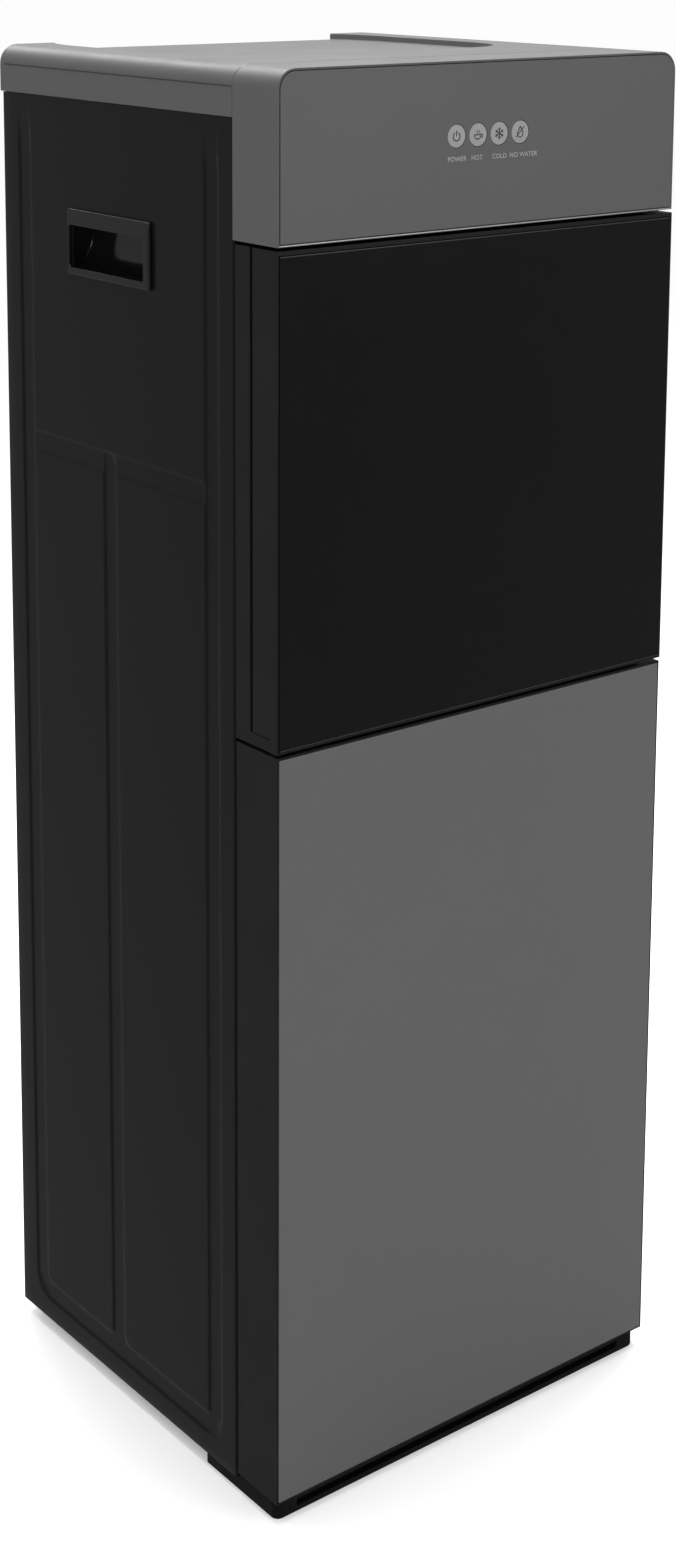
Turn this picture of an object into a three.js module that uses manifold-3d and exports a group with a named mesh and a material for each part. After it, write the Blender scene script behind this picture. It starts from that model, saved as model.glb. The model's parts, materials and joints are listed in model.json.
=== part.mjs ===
// A bottom-loading water dispenser: a tall floor-standing cabinet with a control head on top, a dispensing
// bay behind an upper door and a bottle compartment behind a lower door.
// Millimetres, +Z up. The origin is on the floor under the middle of the whole object, the doors face -Y
// and the hinges are on the +X side.
import * as THREE from 'three';
import { mergeVertices } from 'three/addons/utils/BufferGeometryUtils.js';
import Module from 'manifold-3d';

const wasm = await Module();
wasm.setup();

// ---- Driving dimensions -------------------------------------------------------------------------------
const HALF_WIDTH = 180; // fascia and doors, from the middle to either side
const HEIGHT = 1022;
const BODY_DEPTH = 343; // front of the doors to the back of the rear panel
const CONDENSER_SPACE = 20; // how far the condenser stands out behind the rear panel
const FRONT = -(BODY_DEPTH + CONDENSER_SPACE) / 2; // y of the front plane of the doors

const GAP = 0.3; // between touching pieces
const SHEET = 1.2; // steel sheet
const WALL = 2.5; // moulded plastic wall
const LINER = 2;

const HEAD_DEPTH = 50; // fascia, casing and doors, in front of the steel body
const FASCIA_BOTTOM = 907;
const HEAD_RADIUS = 14; // rounded top edges of fascia and cover
const RIM = 1.6; // edge of a frame round its front panel
const SEAT_GAP = 0.5; // between a set-in panel and the rim round it
const PANEL_DEPTH = 2.9;
const SEAT_DEPTH = 3.2; // floor of the seat that a front panel lies in
const FRAME_FRONT = 0.5; // a door frame's front edge, just behind its panel

const SIDE_FACE = 179; // outer face of the side panels
const SIDE_BOTTOM = 10.6;
const PLINTH_TOP = 14;
const SKIRT_BOTTOM = 987.6;

const UPPER_DOOR = { half: 180.5, bottom: 566.6, top: 904.6, depth: 27.2, sill: 576, lip: 8.2 };
const GLASS_RIM = { side: 1.6, bottom: 1.4, top: 3 }; // frame seen round the glass
const LOWER_DOOR = { half: 179.8, bottom: 16.1, top: 564.2, depth: 47 };
const PANEL_RIM = 1.1; // frame seen round the lower door's panel
const HINGE_X = 174;
const UPPER_HINGE_DEPTH = 22; // pivot lines, behind the front plane
const LOWER_HINGE_DEPTH = 24;
const PIN_RADIUS = 3;
const PIN_CLEARANCE = 0.4;
const PIN_HOLE = 16; // how deep a pivot hole goes into a door
const PIN_LENGTH = 14.5; // how far its pin reaches in
const HINGE_PLATE = 1.6;
const MID_HINGE_Z = 564.6;
const UPPER_HINGE_Z = 905;

const CASING = { bottom: 566.6, top: 904.6, front: 30.8, back: 47.5, sillTop: 575.4, sillFront: 9 };
const BAY = { half: 147.5, bottom: 594.5, top: 887.5, back: 187.5 };
const SHELF_Z = 567; // shelf between the bottle compartment and the cooling unit
const CABINET_HALF = 160; // inside the bottle compartment
const CABINET_BACK = 330;
const FLOOR_Z = 28.5;
const CEILING_Z = 558;

const TAP_X = 45;
const TAP_DEPTH = 150;
const TAP_OUTLET_Z = 785;

// ---- Solids -------------------------------------------------------------------------------------------
const back = (depth) => FRONT + depth; // y at a depth behind the front plane

function toSolid(geometry) {
  const bare = geometry.clone();
  bare.deleteAttribute('normal');
  bare.deleteAttribute('uv');
  const merged = mergeVertices(bare, 1e-4);
  return new wasm.Manifold(
    new wasm.Mesh({
      numProp: 3,
      vertProperties: new Float32Array(merged.attributes.position.array),
      triVerts: new Uint32Array(merged.index.array),
    }),
  );
}

function toGeometry(solid) {
  const mesh = solid.getMesh();
  const geometry = new THREE.BufferGeometry();
  geometry.setAttribute('position', new THREE.BufferAttribute(new Float32Array(mesh.vertProperties), 3));
  geometry.setIndex(new THREE.BufferAttribute(new Uint32Array(mesh.triVerts), 1));
  geometry.computeVertexNormals();
  return geometry;
}

const join = (first, ...others) => others.reduce((sum, next) => sum.add(next), first);
const cut = (first, ...tools) => tools.reduce((rest, tool) => rest.subtract(tool), first);

// A box between two x values, two depths behind the front plane and two heights.
function box(x0, x1, depth0, depth1, z0, z1) {
  const geometry = new THREE.BoxGeometry(x1 - x0, depth1 - depth0, z1 - z0);
  geometry.translate((x0 + x1) / 2, back((depth0 + depth1) / 2), (z0 + z1) / 2);
  return toSolid(geometry);
}

// A rectangle with its own radius at each corner: low left, low right, high right, high left.
function roundedRectangle(x0, x1, y0, y1, radii, steps = 6) {
  const corners = [[x0, y0], [x1, y0], [x1, y1], [x0, y1]];
  const points = corners.flatMap(([x, y], index) => {
    const radius = radii[index];
    if (radius === 0) {
      return [new THREE.Vector2(x, y)];
    }
    const centre = new THREE.Vector2(x === x0 ? x + radius : x - radius, y === y0 ? y + radius : y - radius);
    return Array.from({ length: steps + 1 }, (_, step) => {
      const angle = Math.PI + (Math.PI / 2) * (index + step / steps);
      return new THREE.Vector2(radius * Math.cos(angle), radius * Math.sin(angle)).add(centre);
    });
  });
  return new THREE.Shape(points);
}

// An outline in x and z, given thickness along the depth.
function extrudeDepth(outline, depth0, depth1, curveSegments = 6) {
  const geometry = new THREE.ExtrudeGeometry(outline, {
    depth: depth1 - depth0,
    bevelEnabled: false,
    curveSegments,
  });
  geometry.rotateX(Math.PI / 2);
  geometry.translate(0, back(depth1), 0);
  return toSolid(geometry);
}

// An outline in x and depth, given height.
function extrudeHeight(outline, z0, z1, curveSegments = 8) {
  const geometry = new THREE.ExtrudeGeometry(outline, { depth: z1 - z0, bevelEnabled: false, curveSegments });
  geometry.translate(0, FRONT, z0);
  return toSolid(geometry);
}

// An outline in depth and height, given width between two x values.
function extrudeWidth(points, x0, x1) {
  const shape = new THREE.Shape(points.map(([depth, z]) => new THREE.Vector2(depth, z)));
  const geometry = new THREE.ExtrudeGeometry(shape, { depth: x1 - x0, bevelEnabled: false });
  geometry.rotateX(Math.PI / 2);
  geometry.rotateZ(Math.PI / 2);
  geometry.translate(x0, FRONT, 0);
  return toSolid(geometry);
}

// A turned solid standing on the Z axis; the profile runs from the axis out and back to the axis.
function turned(profile, x, depth, z = 0, sides = 24) {
  const points = profile.map(([radius, height]) => new THREE.Vector2(radius, height));
  const geometry = new THREE.LatheGeometry(points, sides);
  geometry.rotateX(Math.PI / 2);
  geometry.translate(x, back(depth), z);
  return toSolid(geometry);
}

const rod = (radius, z0, z1, x, depth, sides = 16) =>
  turned([[0, z0], [radius, z0], [radius, z1], [0, z1]], x, depth, 0, sides);

// A turned solid lying along the depth, its profile measured backwards from its front end.
function turnedBackwards(profile, x, depth, z, sides = 24) {
  const points = profile.map(([radius, along]) => new THREE.Vector2(radius, along));
  const geometry = new THREE.LatheGeometry(points, sides);
  geometry.translate(x, back(depth), z);
  return toSolid(geometry);
}

// A line through chosen points, with one ring of a tube at each.
class Route extends THREE.Curve {
  constructor(points) {
    super();
    this.points = points;
  }

  getPoint(t, target = new THREE.Vector3()) {
    const place = Math.min(Math.max(t, 0), 1) * (this.points.length - 1);
    const index = Math.min(Math.floor(place), this.points.length - 2);
    return target.lerpVectors(this.points[index], this.points[index + 1], place - index);
  }

  getPointAt(t, target) {
    return this.getPoint(t, target);
  }

  getTangentAt(t, target) {
    return this.getTangent(t, target);
  }
}

// A round tube through points given as [x, depth, z].
function tube(points, radius, sides = 8) {
  const route = new Route(points.map(([x, depth, z]) => new THREE.Vector3(x, back(depth), z)));
  const section = new THREE.Shape();
  for (let side = 0; side < sides; side += 1) {
    const angle = (2 * Math.PI * side) / sides;
    section.lineTo(radius * Math.cos(angle), radius * Math.sin(angle));
  }
  section.curves.shift();
  return toSolid(
    new THREE.ExtrudeGeometry(section, { steps: points.length - 1, bevelEnabled: false, extrudePath: route }),
  );
}

// ---- Scene graph --------------------------------------------------------------------------------------
const dispenser = new THREE.Group();

const finish = (color, roughness, metalness = 0) =>
  new THREE.MeshStandardMaterial({ color, roughness, metalness });
const GREY = finish(0x636363, 0.45);
const GREY_PANEL = finish(0x5f5f5f, 0.3);
const BLACK_STEEL = finish(0x1c1c1c, 0.4, 0.3);
const BLACK_PLASTIC = finish(0x181818, 0.45);
const BLACK_GLASS = finish(0x0b0b0b, 0.08);
const LENS = finish(0x9a9a9a, 0.4);
const STEEL = finish(0xb4b4b4, 0.3, 1);
const WHITE_PLASTIC = finish(0xdcdcd8, 0.5);
const RED = finish(0xb01818, 0.35);
const BLUE = finish(0x1746b0, 0.35);
const GREEN = finish(0x1c5c34, 0.6);
const RUBBER = finish(0x101010, 0.8);
const FOAM = finish(0xe8e4d8, 0.9);

function add(name, solid, material) {
  const mesh = new THREE.Mesh(toGeometry(solid), material);
  mesh.name = name;
  dispenser.add(mesh);
}

const SIDES = [
  ['left', -1],
  ['right', 1],
];

// Turns a range given for the +X side into x values in rising order for either side.
const sideRange = (sign, near, far) => [sign * near, sign * far].sort((a, b) => a - b);

// An upright outline with rounded top corners, shared by the fascia and the cover.
function archOutline(half, bottom, top, radius) {
  return roundedRectangle(-half, half, bottom, top, [0, 0, radius, radius]);
}

// ---- Base ---------------------------------------------------------------------------------------------
function buildBase() {
  const plinth = { half: 177, near: 5, far: 90, corner: 6 };
  const slot = { half: 158, near: 4, far: 11, bottom: 4.5, top: 9.5 };
  const { corner } = plinth;
  const outline = roundedRectangle(-plinth.half, plinth.half, plinth.near, plinth.far, [corner, corner, 0, 0]);
  const frontSlot = box(-slot.half, slot.half, slot.near, slot.far, slot.bottom, slot.top);
  add('plinth', cut(extrudeHeight(outline, 0, PLINTH_TOP), frontSlot), BLACK_PLASTIC);

  const pan = { half: 176, near: 52, far: 341, bottom: 14.6, top: 26 };
  const panBody = box(-pan.half, pan.half, pan.near, pan.far, pan.bottom, pan.top);
  const hollow = box(
    -pan.half + SHEET, pan.half - SHEET, pan.near + SHEET, pan.far - SHEET, pan.bottom - 1, pan.top - SHEET,
  );
  add('base_pan', cut(panBody, hollow), BLACK_STEEL);

  const footX = 140;
  const footDepth = 305;
  const footTop = pan.top - SHEET - GAP;
  for (const [side, sign] of SIDES) {
    const profile = [[0, 0], [17, 0], [18, 1], [18, 7], [6, 9], [6, footTop], [0, footTop]];
    add(`rear_foot_${side}`, turned(profile, sign * footX, footDepth), RUBBER);
  }
}

// ---- Steel body ---------------------------------------------------------------------------------------
const HANDLE = { near: 146, far: 252, bottom: 861, top: 909 }; // outer edge of the handle's flange
const HANDLE_MOUTH = { near: 154, far: 249.5, bottom: 866.5, top: 897 };
const HANDLE_INSIDE = 28; // how deep the grip pocket goes
const HANDLE_PROUD = 3;
const FOLD = 14; // front edge of a side panel, folded inwards
const REAR_BOTTOM = 27;
const LOUVRES = { rows: 9, pitch: 18, bottom: 690, height: 6, half: 50, x: 65 };

function buildBody() {
  for (const [side, sign] of SIDES) {
    const [x0, x1] = sideRange(sign, SIDE_FACE - SHEET, SIDE_FACE);
    const skin = box(x0, x1, HEAD_DEPTH, BODY_DEPTH, SIDE_BOTTOM, SKIRT_BOTTOM - GAP);
    const [f0, f1] = sideRange(sign, SIDE_FACE - FOLD, SIDE_FACE - SHEET / 2);
    const frontFold = box(f0, f1, HEAD_DEPTH, HEAD_DEPTH + SHEET, SIDE_BOTTOM, SKIRT_BOTTOM - GAP);
    const [g0, g1] = sideRange(sign, SIDE_FACE - 9, SIDE_FACE + 9);
    const grip = box(g0, g1, HANDLE.near + 3, HANDLE.far - 1, HANDLE.bottom + 1, HANDLE.top - 1);
    const foldCut = (z0, z1) => box(f0 - 1, f1 + 0.1, HEAD_DEPTH - 1, HEAD_DEPTH + SHEET + 1, z0, z1);
    const hingeCuts = [MID_HINGE_Z, UPPER_HINGE_Z].map((z) => foldCut(z - GAP, z + HINGE_PLATE + GAP));
    const plinthCut = foldCut(0, PLINTH_TOP + GAP);
    add(`side_panel_${side}`, cut(join(skin, frontFold), grip, plinthCut, ...hingeCuts), BLACK_STEEL);
    add(`handle_${side}`, handleSolid(sign), BLACK_PLASTIC);
  }

  const rearHalf = SIDE_FACE - SHEET - GAP;
  const louvres = [];
  for (let row = 0; row < LOUVRES.rows; row += 1) {
    const z = LOUVRES.bottom + row * LOUVRES.pitch;
    for (const x of [-LOUVRES.x, LOUVRES.x]) {
      const { half, height } = LOUVRES;
      louvres.push(box(x - half, x + half, BODY_DEPTH - 5, BODY_DEPTH + 5, z, z + height));
    }
  }
  const switchHoles = SWITCHES.map(({ x }) =>
    box(
      x - SWITCH_HOLE.halfWidth, x + SWITCH_HOLE.halfWidth, BODY_DEPTH - 5, BODY_DEPTH + 5,
      SWITCH_Z - SWITCH_HOLE.halfHeight, SWITCH_Z + SWITCH_HOLE.halfHeight,
    ),
  );
  const roundHole = ({ x, z, hole }) =>
    turnedBackwards([[0, 0], [hole, 0], [hole, 10], [0, 10]], x, BODY_DEPTH - 5, z, 20);
  const rear = box(-rearHalf, rearHalf, BODY_DEPTH - SHEET, BODY_DEPTH, REAR_BOTTOM, SKIRT_BOTTOM - GAP);
  add('rear_panel', cut(rear, ...louvres, ...switchHoles, roundHole(DRAIN), roundHole(CORD)), BLACK_STEEL);
}

// A carrying grip: a flange on the outside of the side panel and a pocket that rises behind it.
function handleSolid(sign) {
  const outside = SIDE_FACE + HANDLE_PROUD;
  const seat = SIDE_FACE + GAP;
  const [flange0, flange1] = sideRange(sign, seat, outside);
  const flange = box(flange0, flange1, HANDLE.near, HANDLE.far, HANDLE.bottom, HANDLE.top);
  const [cup0, cup1] = sideRange(sign, SIDE_FACE - HANDLE_INSIDE, seat + 0.5);
  const cup = box(cup0, cup1, HANDLE.near + 4, HANDLE.far - 1.5, HANDLE.bottom + 2, HANDLE.top - 2);
  const [mouth0, mouth1] = sideRange(sign, SIDE_FACE - 4, outside + 5);
  const mouth = box(
    mouth0, mouth1, HANDLE_MOUTH.near, HANDLE_MOUTH.far - 1, HANDLE_MOUTH.bottom, HANDLE_MOUTH.top,
  );
  const [pocket0, pocket1] = sideRange(sign, SIDE_FACE - HANDLE_INSIDE + WALL, SIDE_FACE - 3);
  const pocket = box(
    pocket0, pocket1, HANDLE_MOUTH.near, HANDLE_MOUTH.far - 1.5, HANDLE_MOUTH.bottom, HANDLE.top - 4.5,
  );
  return cut(join(flange, cup), mouth, pocket);
}

// ---- Cover and control head ---------------------------------------------------------------------------
const RECESS = { half: 144, mouthHalf: 131, front: 120, corner: 62, depth: 5, bend: 290 };

function recessOutline(rear) {
  const shape = new THREE.Shape();
  const { half, mouthHalf, front, corner, bend } = RECESS;
  shape.moveTo(-mouthHalf, rear);
  shape.quadraticCurveTo(-half, (bend + rear) / 2 + 10, -half, bend);
  shape.lineTo(-half, front + corner);
  shape.absarc(-half + corner, front + corner, corner, Math.PI, 1.5 * Math.PI, false);
  shape.lineTo(half - corner, front);
  shape.absarc(half - corner, front + corner, corner, 1.5 * Math.PI, 2 * Math.PI, false);
  shape.lineTo(half, bend);
  shape.quadraticCurveTo(half, (bend + rear) / 2 + 10, mouthHalf, rear);
  return shape;
}

function buildCover() {
  const coverRear = BODY_DEPTH + 3;
  const plate = 3;
  const ceiling = HEIGHT - RECESS.depth - plate;
  const outside = extrudeDepth(
    archOutline(HALF_WIDTH, SKIRT_BOTTOM, HEIGHT, HEAD_RADIUS), HEAD_DEPTH + GAP, coverRear,
  );
  const inside = extrudeDepth(
    archOutline(HALF_WIDTH - WALL, SKIRT_BOTTOM - 1, ceiling, HEAD_RADIUS - 4),
    HEAD_DEPTH - 1, coverRear - WALL,
  );
  const tray = extrudeHeight(recessOutline(coverRear + 1), HEIGHT - RECESS.depth, HEIGHT + 5, 10);
  add('top_cover', cut(outside, inside, tray), GREY);
}

const LENS_RADIUS = 8;
const LENS_SPACING = 19.3;
const LENS_Z = 971.3;
const LENSES = ['power', 'hot', 'cold', 'no_water'].map((name, index) => ({
  name: `indicator_${name}`,
  x: (index - 1.5) * LENS_SPACING - 0.5,
}));

function buildHead() {
  const rimFront = 0.5;
  const outside = extrudeDepth(
    archOutline(HALF_WIDTH, FASCIA_BOTTOM, HEIGHT, HEAD_RADIUS), rimFront, HEAD_DEPTH,
  );
  const seat = extrudeDepth(
    archOutline(HALF_WIDTH - RIM, FASCIA_BOTTOM + RIM, HEIGHT - RIM, HEAD_RADIUS - RIM), -1, SEAT_DEPTH,
  );
  const inside = extrudeDepth(
    archOutline(HALF_WIDTH - 3, FASCIA_BOTTOM + 3, HEIGHT - 4, HEAD_RADIUS - 4), 6, HEAD_DEPTH + 1,
  );
  const lensHole = (x, radius, depth0, depth1) =>
    turnedBackwards([[0, 0], [radius, 0], [radius, depth1 - depth0], [0, depth1 - depth0]], x, depth0, LENS_Z);
  const lightHoles = LENSES.map(({ x }) => lensHole(x, 5, 2, 8));
  add('fascia_housing', cut(outside, seat, inside, ...lightHoles), GREY);

  const inset = RIM + SEAT_GAP;
  const panel = extrudeDepth(
    archOutline(HALF_WIDTH - inset, FASCIA_BOTTOM + inset, HEIGHT - inset, HEAD_RADIUS - inset), 0, PANEL_DEPTH,
  );
  const windows = LENSES.map(({ x }) => lensHole(x, LENS_RADIUS + GAP, -1, 4));
  add('fascia_panel', cut(panel, ...windows), GREY_PANEL);
  for (const { name, x } of LENSES) {
    add(name, lensHole(x, LENS_RADIUS, 0.1, PANEL_DEPTH), LENS);
  }
  const board = { half: 62, near: 12, far: 13.6, bottom: 946, top: 996 };
  add('control_board', box(-board.half, board.half, board.near, board.far, board.bottom, board.top), GREEN);
}

// ---- Doors and hinges ---------------------------------------------------------------------------------
const SOLID_EDGE = 14; // solid stile on the hinge side, which takes the pivot holes

function pivotHole(depth, z0, z1) {
  return rod(PIN_RADIUS + PIN_CLEARANCE, z0, z1, HINGE_X, depth);
}

function buildUpperDoor() {
  const { half, bottom, top, depth, sill, lip } = UPPER_DOOR;
  const wall = 4;
  const rim = GLASS_RIM;
  const bezel = box(-half, half, FRAME_FRONT, lip, bottom, top);
  const shell = box(-half, half, lip - 1, depth, sill, top);
  const seat = box(-half + rim.side, half - rim.side, -1, SEAT_DEPTH, bottom + rim.bottom, top - rim.top);
  const linerFront = depth - 3.5;
  const hollow = box(-half + wall, half - SOLID_EDGE, 6, depth + 1, sill + wall, top - wall);
  add(
    'upper_door_frame',
    cut(
      join(bezel, shell),
      seat,
      hollow,
      pivotHole(UPPER_HINGE_DEPTH, sill - 1, sill + PIN_HOLE),
      pivotHole(UPPER_HINGE_DEPTH, top - PIN_HOLE, top + 1),
    ),
    BLACK_PLASTIC,
  );
  const glassHalf = half - rim.side - SEAT_GAP;
  add(
    'upper_door_glass',
    box(-glassHalf, glassHalf, 0, PANEL_DEPTH, bottom + rim.bottom + SEAT_GAP, top - rim.top - SEAT_GAP),
    BLACK_GLASS,
  );
  add(
    'upper_door_liner',
    box(
      -half + wall + GAP, half - SOLID_EDGE - GAP, linerFront, depth - GAP, sill + wall + GAP, top - wall - GAP,
    ),
    BLACK_PLASTIC,
  );
}

function buildLowerDoor() {
  const { half, bottom, top, depth } = LOWER_DOOR;
  const wall = 5;
  const inset = PANEL_RIM + SEAT_GAP;
  const shell = box(-half, half, FRAME_FRONT, depth, bottom, top);
  const seat = box(
    -half + PANEL_RIM, half - PANEL_RIM, -1, SEAT_DEPTH, bottom + PANEL_RIM, top - PANEL_RIM,
  );
  const hollow = box(-half + wall, half - SOLID_EDGE, 6, depth + 1, bottom + wall, top - wall);
  add(
    'lower_door_frame',
    cut(
      shell,
      seat,
      hollow,
      pivotHole(LOWER_HINGE_DEPTH, bottom - 1, bottom + PIN_HOLE),
      pivotHole(LOWER_HINGE_DEPTH, top - PIN_HOLE, top + 1),
    ),
    BLACK_PLASTIC,
  );
  add(
    'lower_door_panel',
    box(-half + inset, half - inset, 0, PANEL_DEPTH, bottom + inset, top - inset),
    GREY_PANEL,
  );
  add(
    'lower_door_liner',
    box(
      -half + wall + GAP, half - SOLID_EDGE - GAP, depth - 4, depth - GAP, bottom + wall + GAP, top - wall - GAP,
    ),
    BLACK_PLASTIC,
  );
}

function buildHinges() {
  const pin = (z0, z1, depth) => rod(PIN_RADIUS, z0, z1, HINGE_X, depth);
  const leaf = { left: 166, right: 177.3, near: 15, far: 60 };
  const plate = (z0) => box(leaf.left, leaf.right, leaf.near, leaf.far, z0, z0 + HINGE_PLATE);
  const washer = (z0, z1, depth) => rod(5, z0, z1, HINGE_X, depth);
  add(
    'mid_hinge',
    join(
      plate(MID_HINGE_Z),
      pin(LOWER_DOOR.top - PIN_LENGTH, MID_HINGE_Z + 1, LOWER_HINGE_DEPTH),
      pin(MID_HINGE_Z + 1, UPPER_DOOR.sill + PIN_LENGTH, UPPER_HINGE_DEPTH),
      washer(MID_HINGE_Z + 1, UPPER_DOOR.sill - GAP, UPPER_HINGE_DEPTH),
    ),
    STEEL,
  );
  const upperPin = pin(UPPER_DOOR.top - PIN_LENGTH, UPPER_HINGE_Z + 1, UPPER_HINGE_DEPTH);
  add('upper_hinge', join(plate(UPPER_HINGE_Z), upperPin), STEEL);
  const foot = PLINTH_TOP + GAP;
  const block = rod(7, foot, LOWER_DOOR.bottom - GAP, HINGE_X - 4, LOWER_HINGE_DEPTH);
  const lowerPin = pin(foot, LOWER_DOOR.bottom + PIN_LENGTH - 0.1, LOWER_HINGE_DEPTH);
  add('lower_hinge', join(block, lowerPin), STEEL);
  const latch = { left: -172, right: -162, height: 40, upper: 715, lower: 270 };
  const latchPlate = (near, far, z) => box(latch.left, latch.right, near, far, z, z + latch.height);
  add('upper_catch', latchPlate(UPPER_DOOR.depth + GAP, CASING.front - GAP, latch.upper), STEEL);
  add('lower_catch', latchPlate(LOWER_DOOR.depth + GAP, HEAD_DEPTH - GAP, latch.lower), STEEL);
}

// ---- Dispensing bay -----------------------------------------------------------------------------------
function buildBay() {
  const { bottom, top, front, back: rear, sillTop, sillFront } = CASING;
  const ring = box(-HALF_WIDTH, HALF_WIDTH, front, rear, bottom, top);
  const sillEnd = 158; // clear of the hinge
  const sill = box(-HALF_WIDTH, sillEnd, sillFront, front + 1, bottom, sillTop);
  const opening = box(-BAY.half, BAY.half, front - 1, rear + 1, BAY.bottom, BAY.top);
  add('front_casing', cut(join(ring, sill), opening), BLACK_PLASTIC);

  const linerFront = rear + GAP;
  const shell = box(
    -BAY.half - WALL, BAY.half + WALL, linerFront, BAY.back + WALL, BAY.bottom - WALL, BAY.top + WALL,
  );
  const room = box(-BAY.half, BAY.half, linerFront - 1, BAY.back, BAY.bottom, BAY.top);
  const pipeHole = (x) =>
    turnedBackwards([[0, 0], [7, 0], [7, 10], [0, 10]], x, BAY.back - 3, TAP_BARREL_Z, 16);
  add('bay_liner', cut(shell, room, pipeHole(-TAP_X), pipeHole(TAP_X)), BLACK_PLASTIC);

  buildTap('hot', -TAP_X, RED);
  buildTap('cold', TAP_X, BLUE);

  const tray = { half: 105, near: 54, far: 168, bottom: BAY.bottom + GAP, top: 614 };
  const trayBody = box(-tray.half, tray.half, tray.near, tray.far, tray.bottom, tray.top);
  const trayRoom = box(
    -tray.half + WALL, tray.half - WALL, tray.near + WALL, tray.far - WALL, tray.bottom + WALL, tray.top + 1,
  );
  add('drip_tray', cut(trayBody, trayRoom), BLACK_PLASTIC);

  const edge = WALL + GAP;
  const grille = box(
    -tray.half + edge, tray.half - edge, tray.near + edge, tray.far - edge, tray.top - 3, tray.top,
  );
  const slots = [];
  const slotCount = 17;
  const slotPitch = 11;
  for (let index = 0; index < slotCount; index += 1) {
    const x = (index - (slotCount - 1) / 2) * slotPitch;
    slots.push(box(x - 2.5, x + 2.5, tray.near + 12, tray.far - 12, tray.top - 4, tray.top + 1));
  }
  add('drip_grille', cut(grille, ...slots), STEEL);
}

const TAP_BARREL_Z = 832;
const STEM_HALF = 9;
const CHEEK = 3;

function buildTap(name, x, colour) {
  const barrel = turnedBackwards(
    [[0, 0], [13, 0], [13, 26], [17, 26], [17, BAY.back - GAP - TAP_DEPTH], [0, BAY.back - GAP - TAP_DEPTH]],
    x, TAP_DEPTH, TAP_BARREL_Z,
  );
  const spout = turned(
    [
      [0, TAP_OUTLET_Z], [6, TAP_OUTLET_Z], [7.5, TAP_OUTLET_Z + 12], [12, TAP_OUTLET_Z + 24],
      [13, TAP_BARREL_Z], [12, 848], [0, 848],
    ],
    x, TAP_DEPTH,
  );
  const stem = box(x - STEM_HALF, x + STEM_HALF, TAP_DEPTH - 8, TAP_DEPTH + 8, 846, 860);
  const bore = turned([[0, TAP_OUTLET_Z - 1], [4, TAP_OUTLET_Z - 1], [4, 812], [0, 812]], x, TAP_DEPTH, 0, 12);
  add(`${name}_tap`, cut(join(barrel, spout, stem), bore), BLACK_PLASTIC);

  const half = STEM_HALF + 0.6 + CHEEK;
  const leverFront = 98;
  const leverBack = TAP_DEPTH + 9;
  const underside = 864;
  const plate = extrudeWidth(
    [
      [leverFront, 856], [leverFront + 3, 852], [leverFront + 30, underside], [leverBack, underside],
      [leverBack, underside + 5], [leverFront + 34, underside + 7],
    ],
    x - half, x + half,
  );
  const cheek = (from, to) => box(from, to, TAP_DEPTH - 7, TAP_DEPTH + 7, 851, underside + 1);
  const inner = STEM_HALF + 0.6;
  add(`${name}_lever`, join(plate, cheek(x - half, x - inner), cheek(x + inner, x + half)), colour);
}

function buildChildLock() {
  const lock = extrudeWidth(
    [[136, 871.4], [148, 870.2], [148, 873.5], [145, 876], [139, 876.5], [136, 874]], -TAP_X - 6, -TAP_X + 6,
  );
  add('child_lock', lock, RED);
}

// ---- Bottle compartment -------------------------------------------------------------------------------
const PROBE = { x: -120, depth: 296, bottom: 60, capBottom: 526, capTop: 548, clipZ: 300 };
const HOSE_RADIUS = 4;
const HOSE_TOP_DEPTH = 250;
const POST = { outer: 176, far: 62, bottom: 27, top: 562 };

function buildCabinet() {
  for (const [side, sign] of SIDES) {
    const [post0, post1] = sideRange(sign, CABINET_HALF + LINER + GAP, POST.outer);
    const post = box(post0, post1, HEAD_DEPTH + SHEET + GAP, POST.far, POST.bottom, POST.top);
    add(`front_post_${side}`, post, BLACK_STEEL);
    const [wall0, wall1] = sideRange(sign, CABINET_HALF, CABINET_HALF + LINER);
    add(
      `cabinet_wall_${side}`,
      box(wall0, wall1, HEAD_DEPTH + SHEET + GAP, CABINET_BACK + LINER, FLOOR_Z - LINER, CEILING_Z + LINER),
      BLACK_PLASTIC,
    );
  }
  const inner = CABINET_HALF - GAP;
  const near = HEAD_DEPTH + SHEET + GAP;
  add('cabinet_floor', box(-inner, inner, near, CABINET_BACK - GAP, FLOOR_Z - LINER, FLOOR_Z), BLACK_PLASTIC);
  add(
    'cabinet_back',
    box(-inner, inner, CABINET_BACK, CABINET_BACK + LINER, FLOOR_Z - LINER, CEILING_Z + LINER),
    BLACK_PLASTIC,
  );
  const hoseHole = rod(HOSE_RADIUS + 1, CEILING_Z - 1, CEILING_Z + LINER + 1, 0, HOSE_TOP_DEPTH, 12);
  add(
    'cabinet_ceiling',
    cut(box(-inner, inner, near, CABINET_BACK - GAP, CEILING_Z, CEILING_Z + LINER), hoseHole),
    BLACK_PLASTIC,
  );
  const shelfHalf = SIDE_FACE - SHEET - GAP;
  const shelf = box(-shelfHalf, shelfHalf, 61, BODY_DEPTH - SHEET - GAP, SHELF_Z, SHELF_Z + SHEET);
  add('mid_shelf', shelf, BLACK_STEEL);
}

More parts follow.
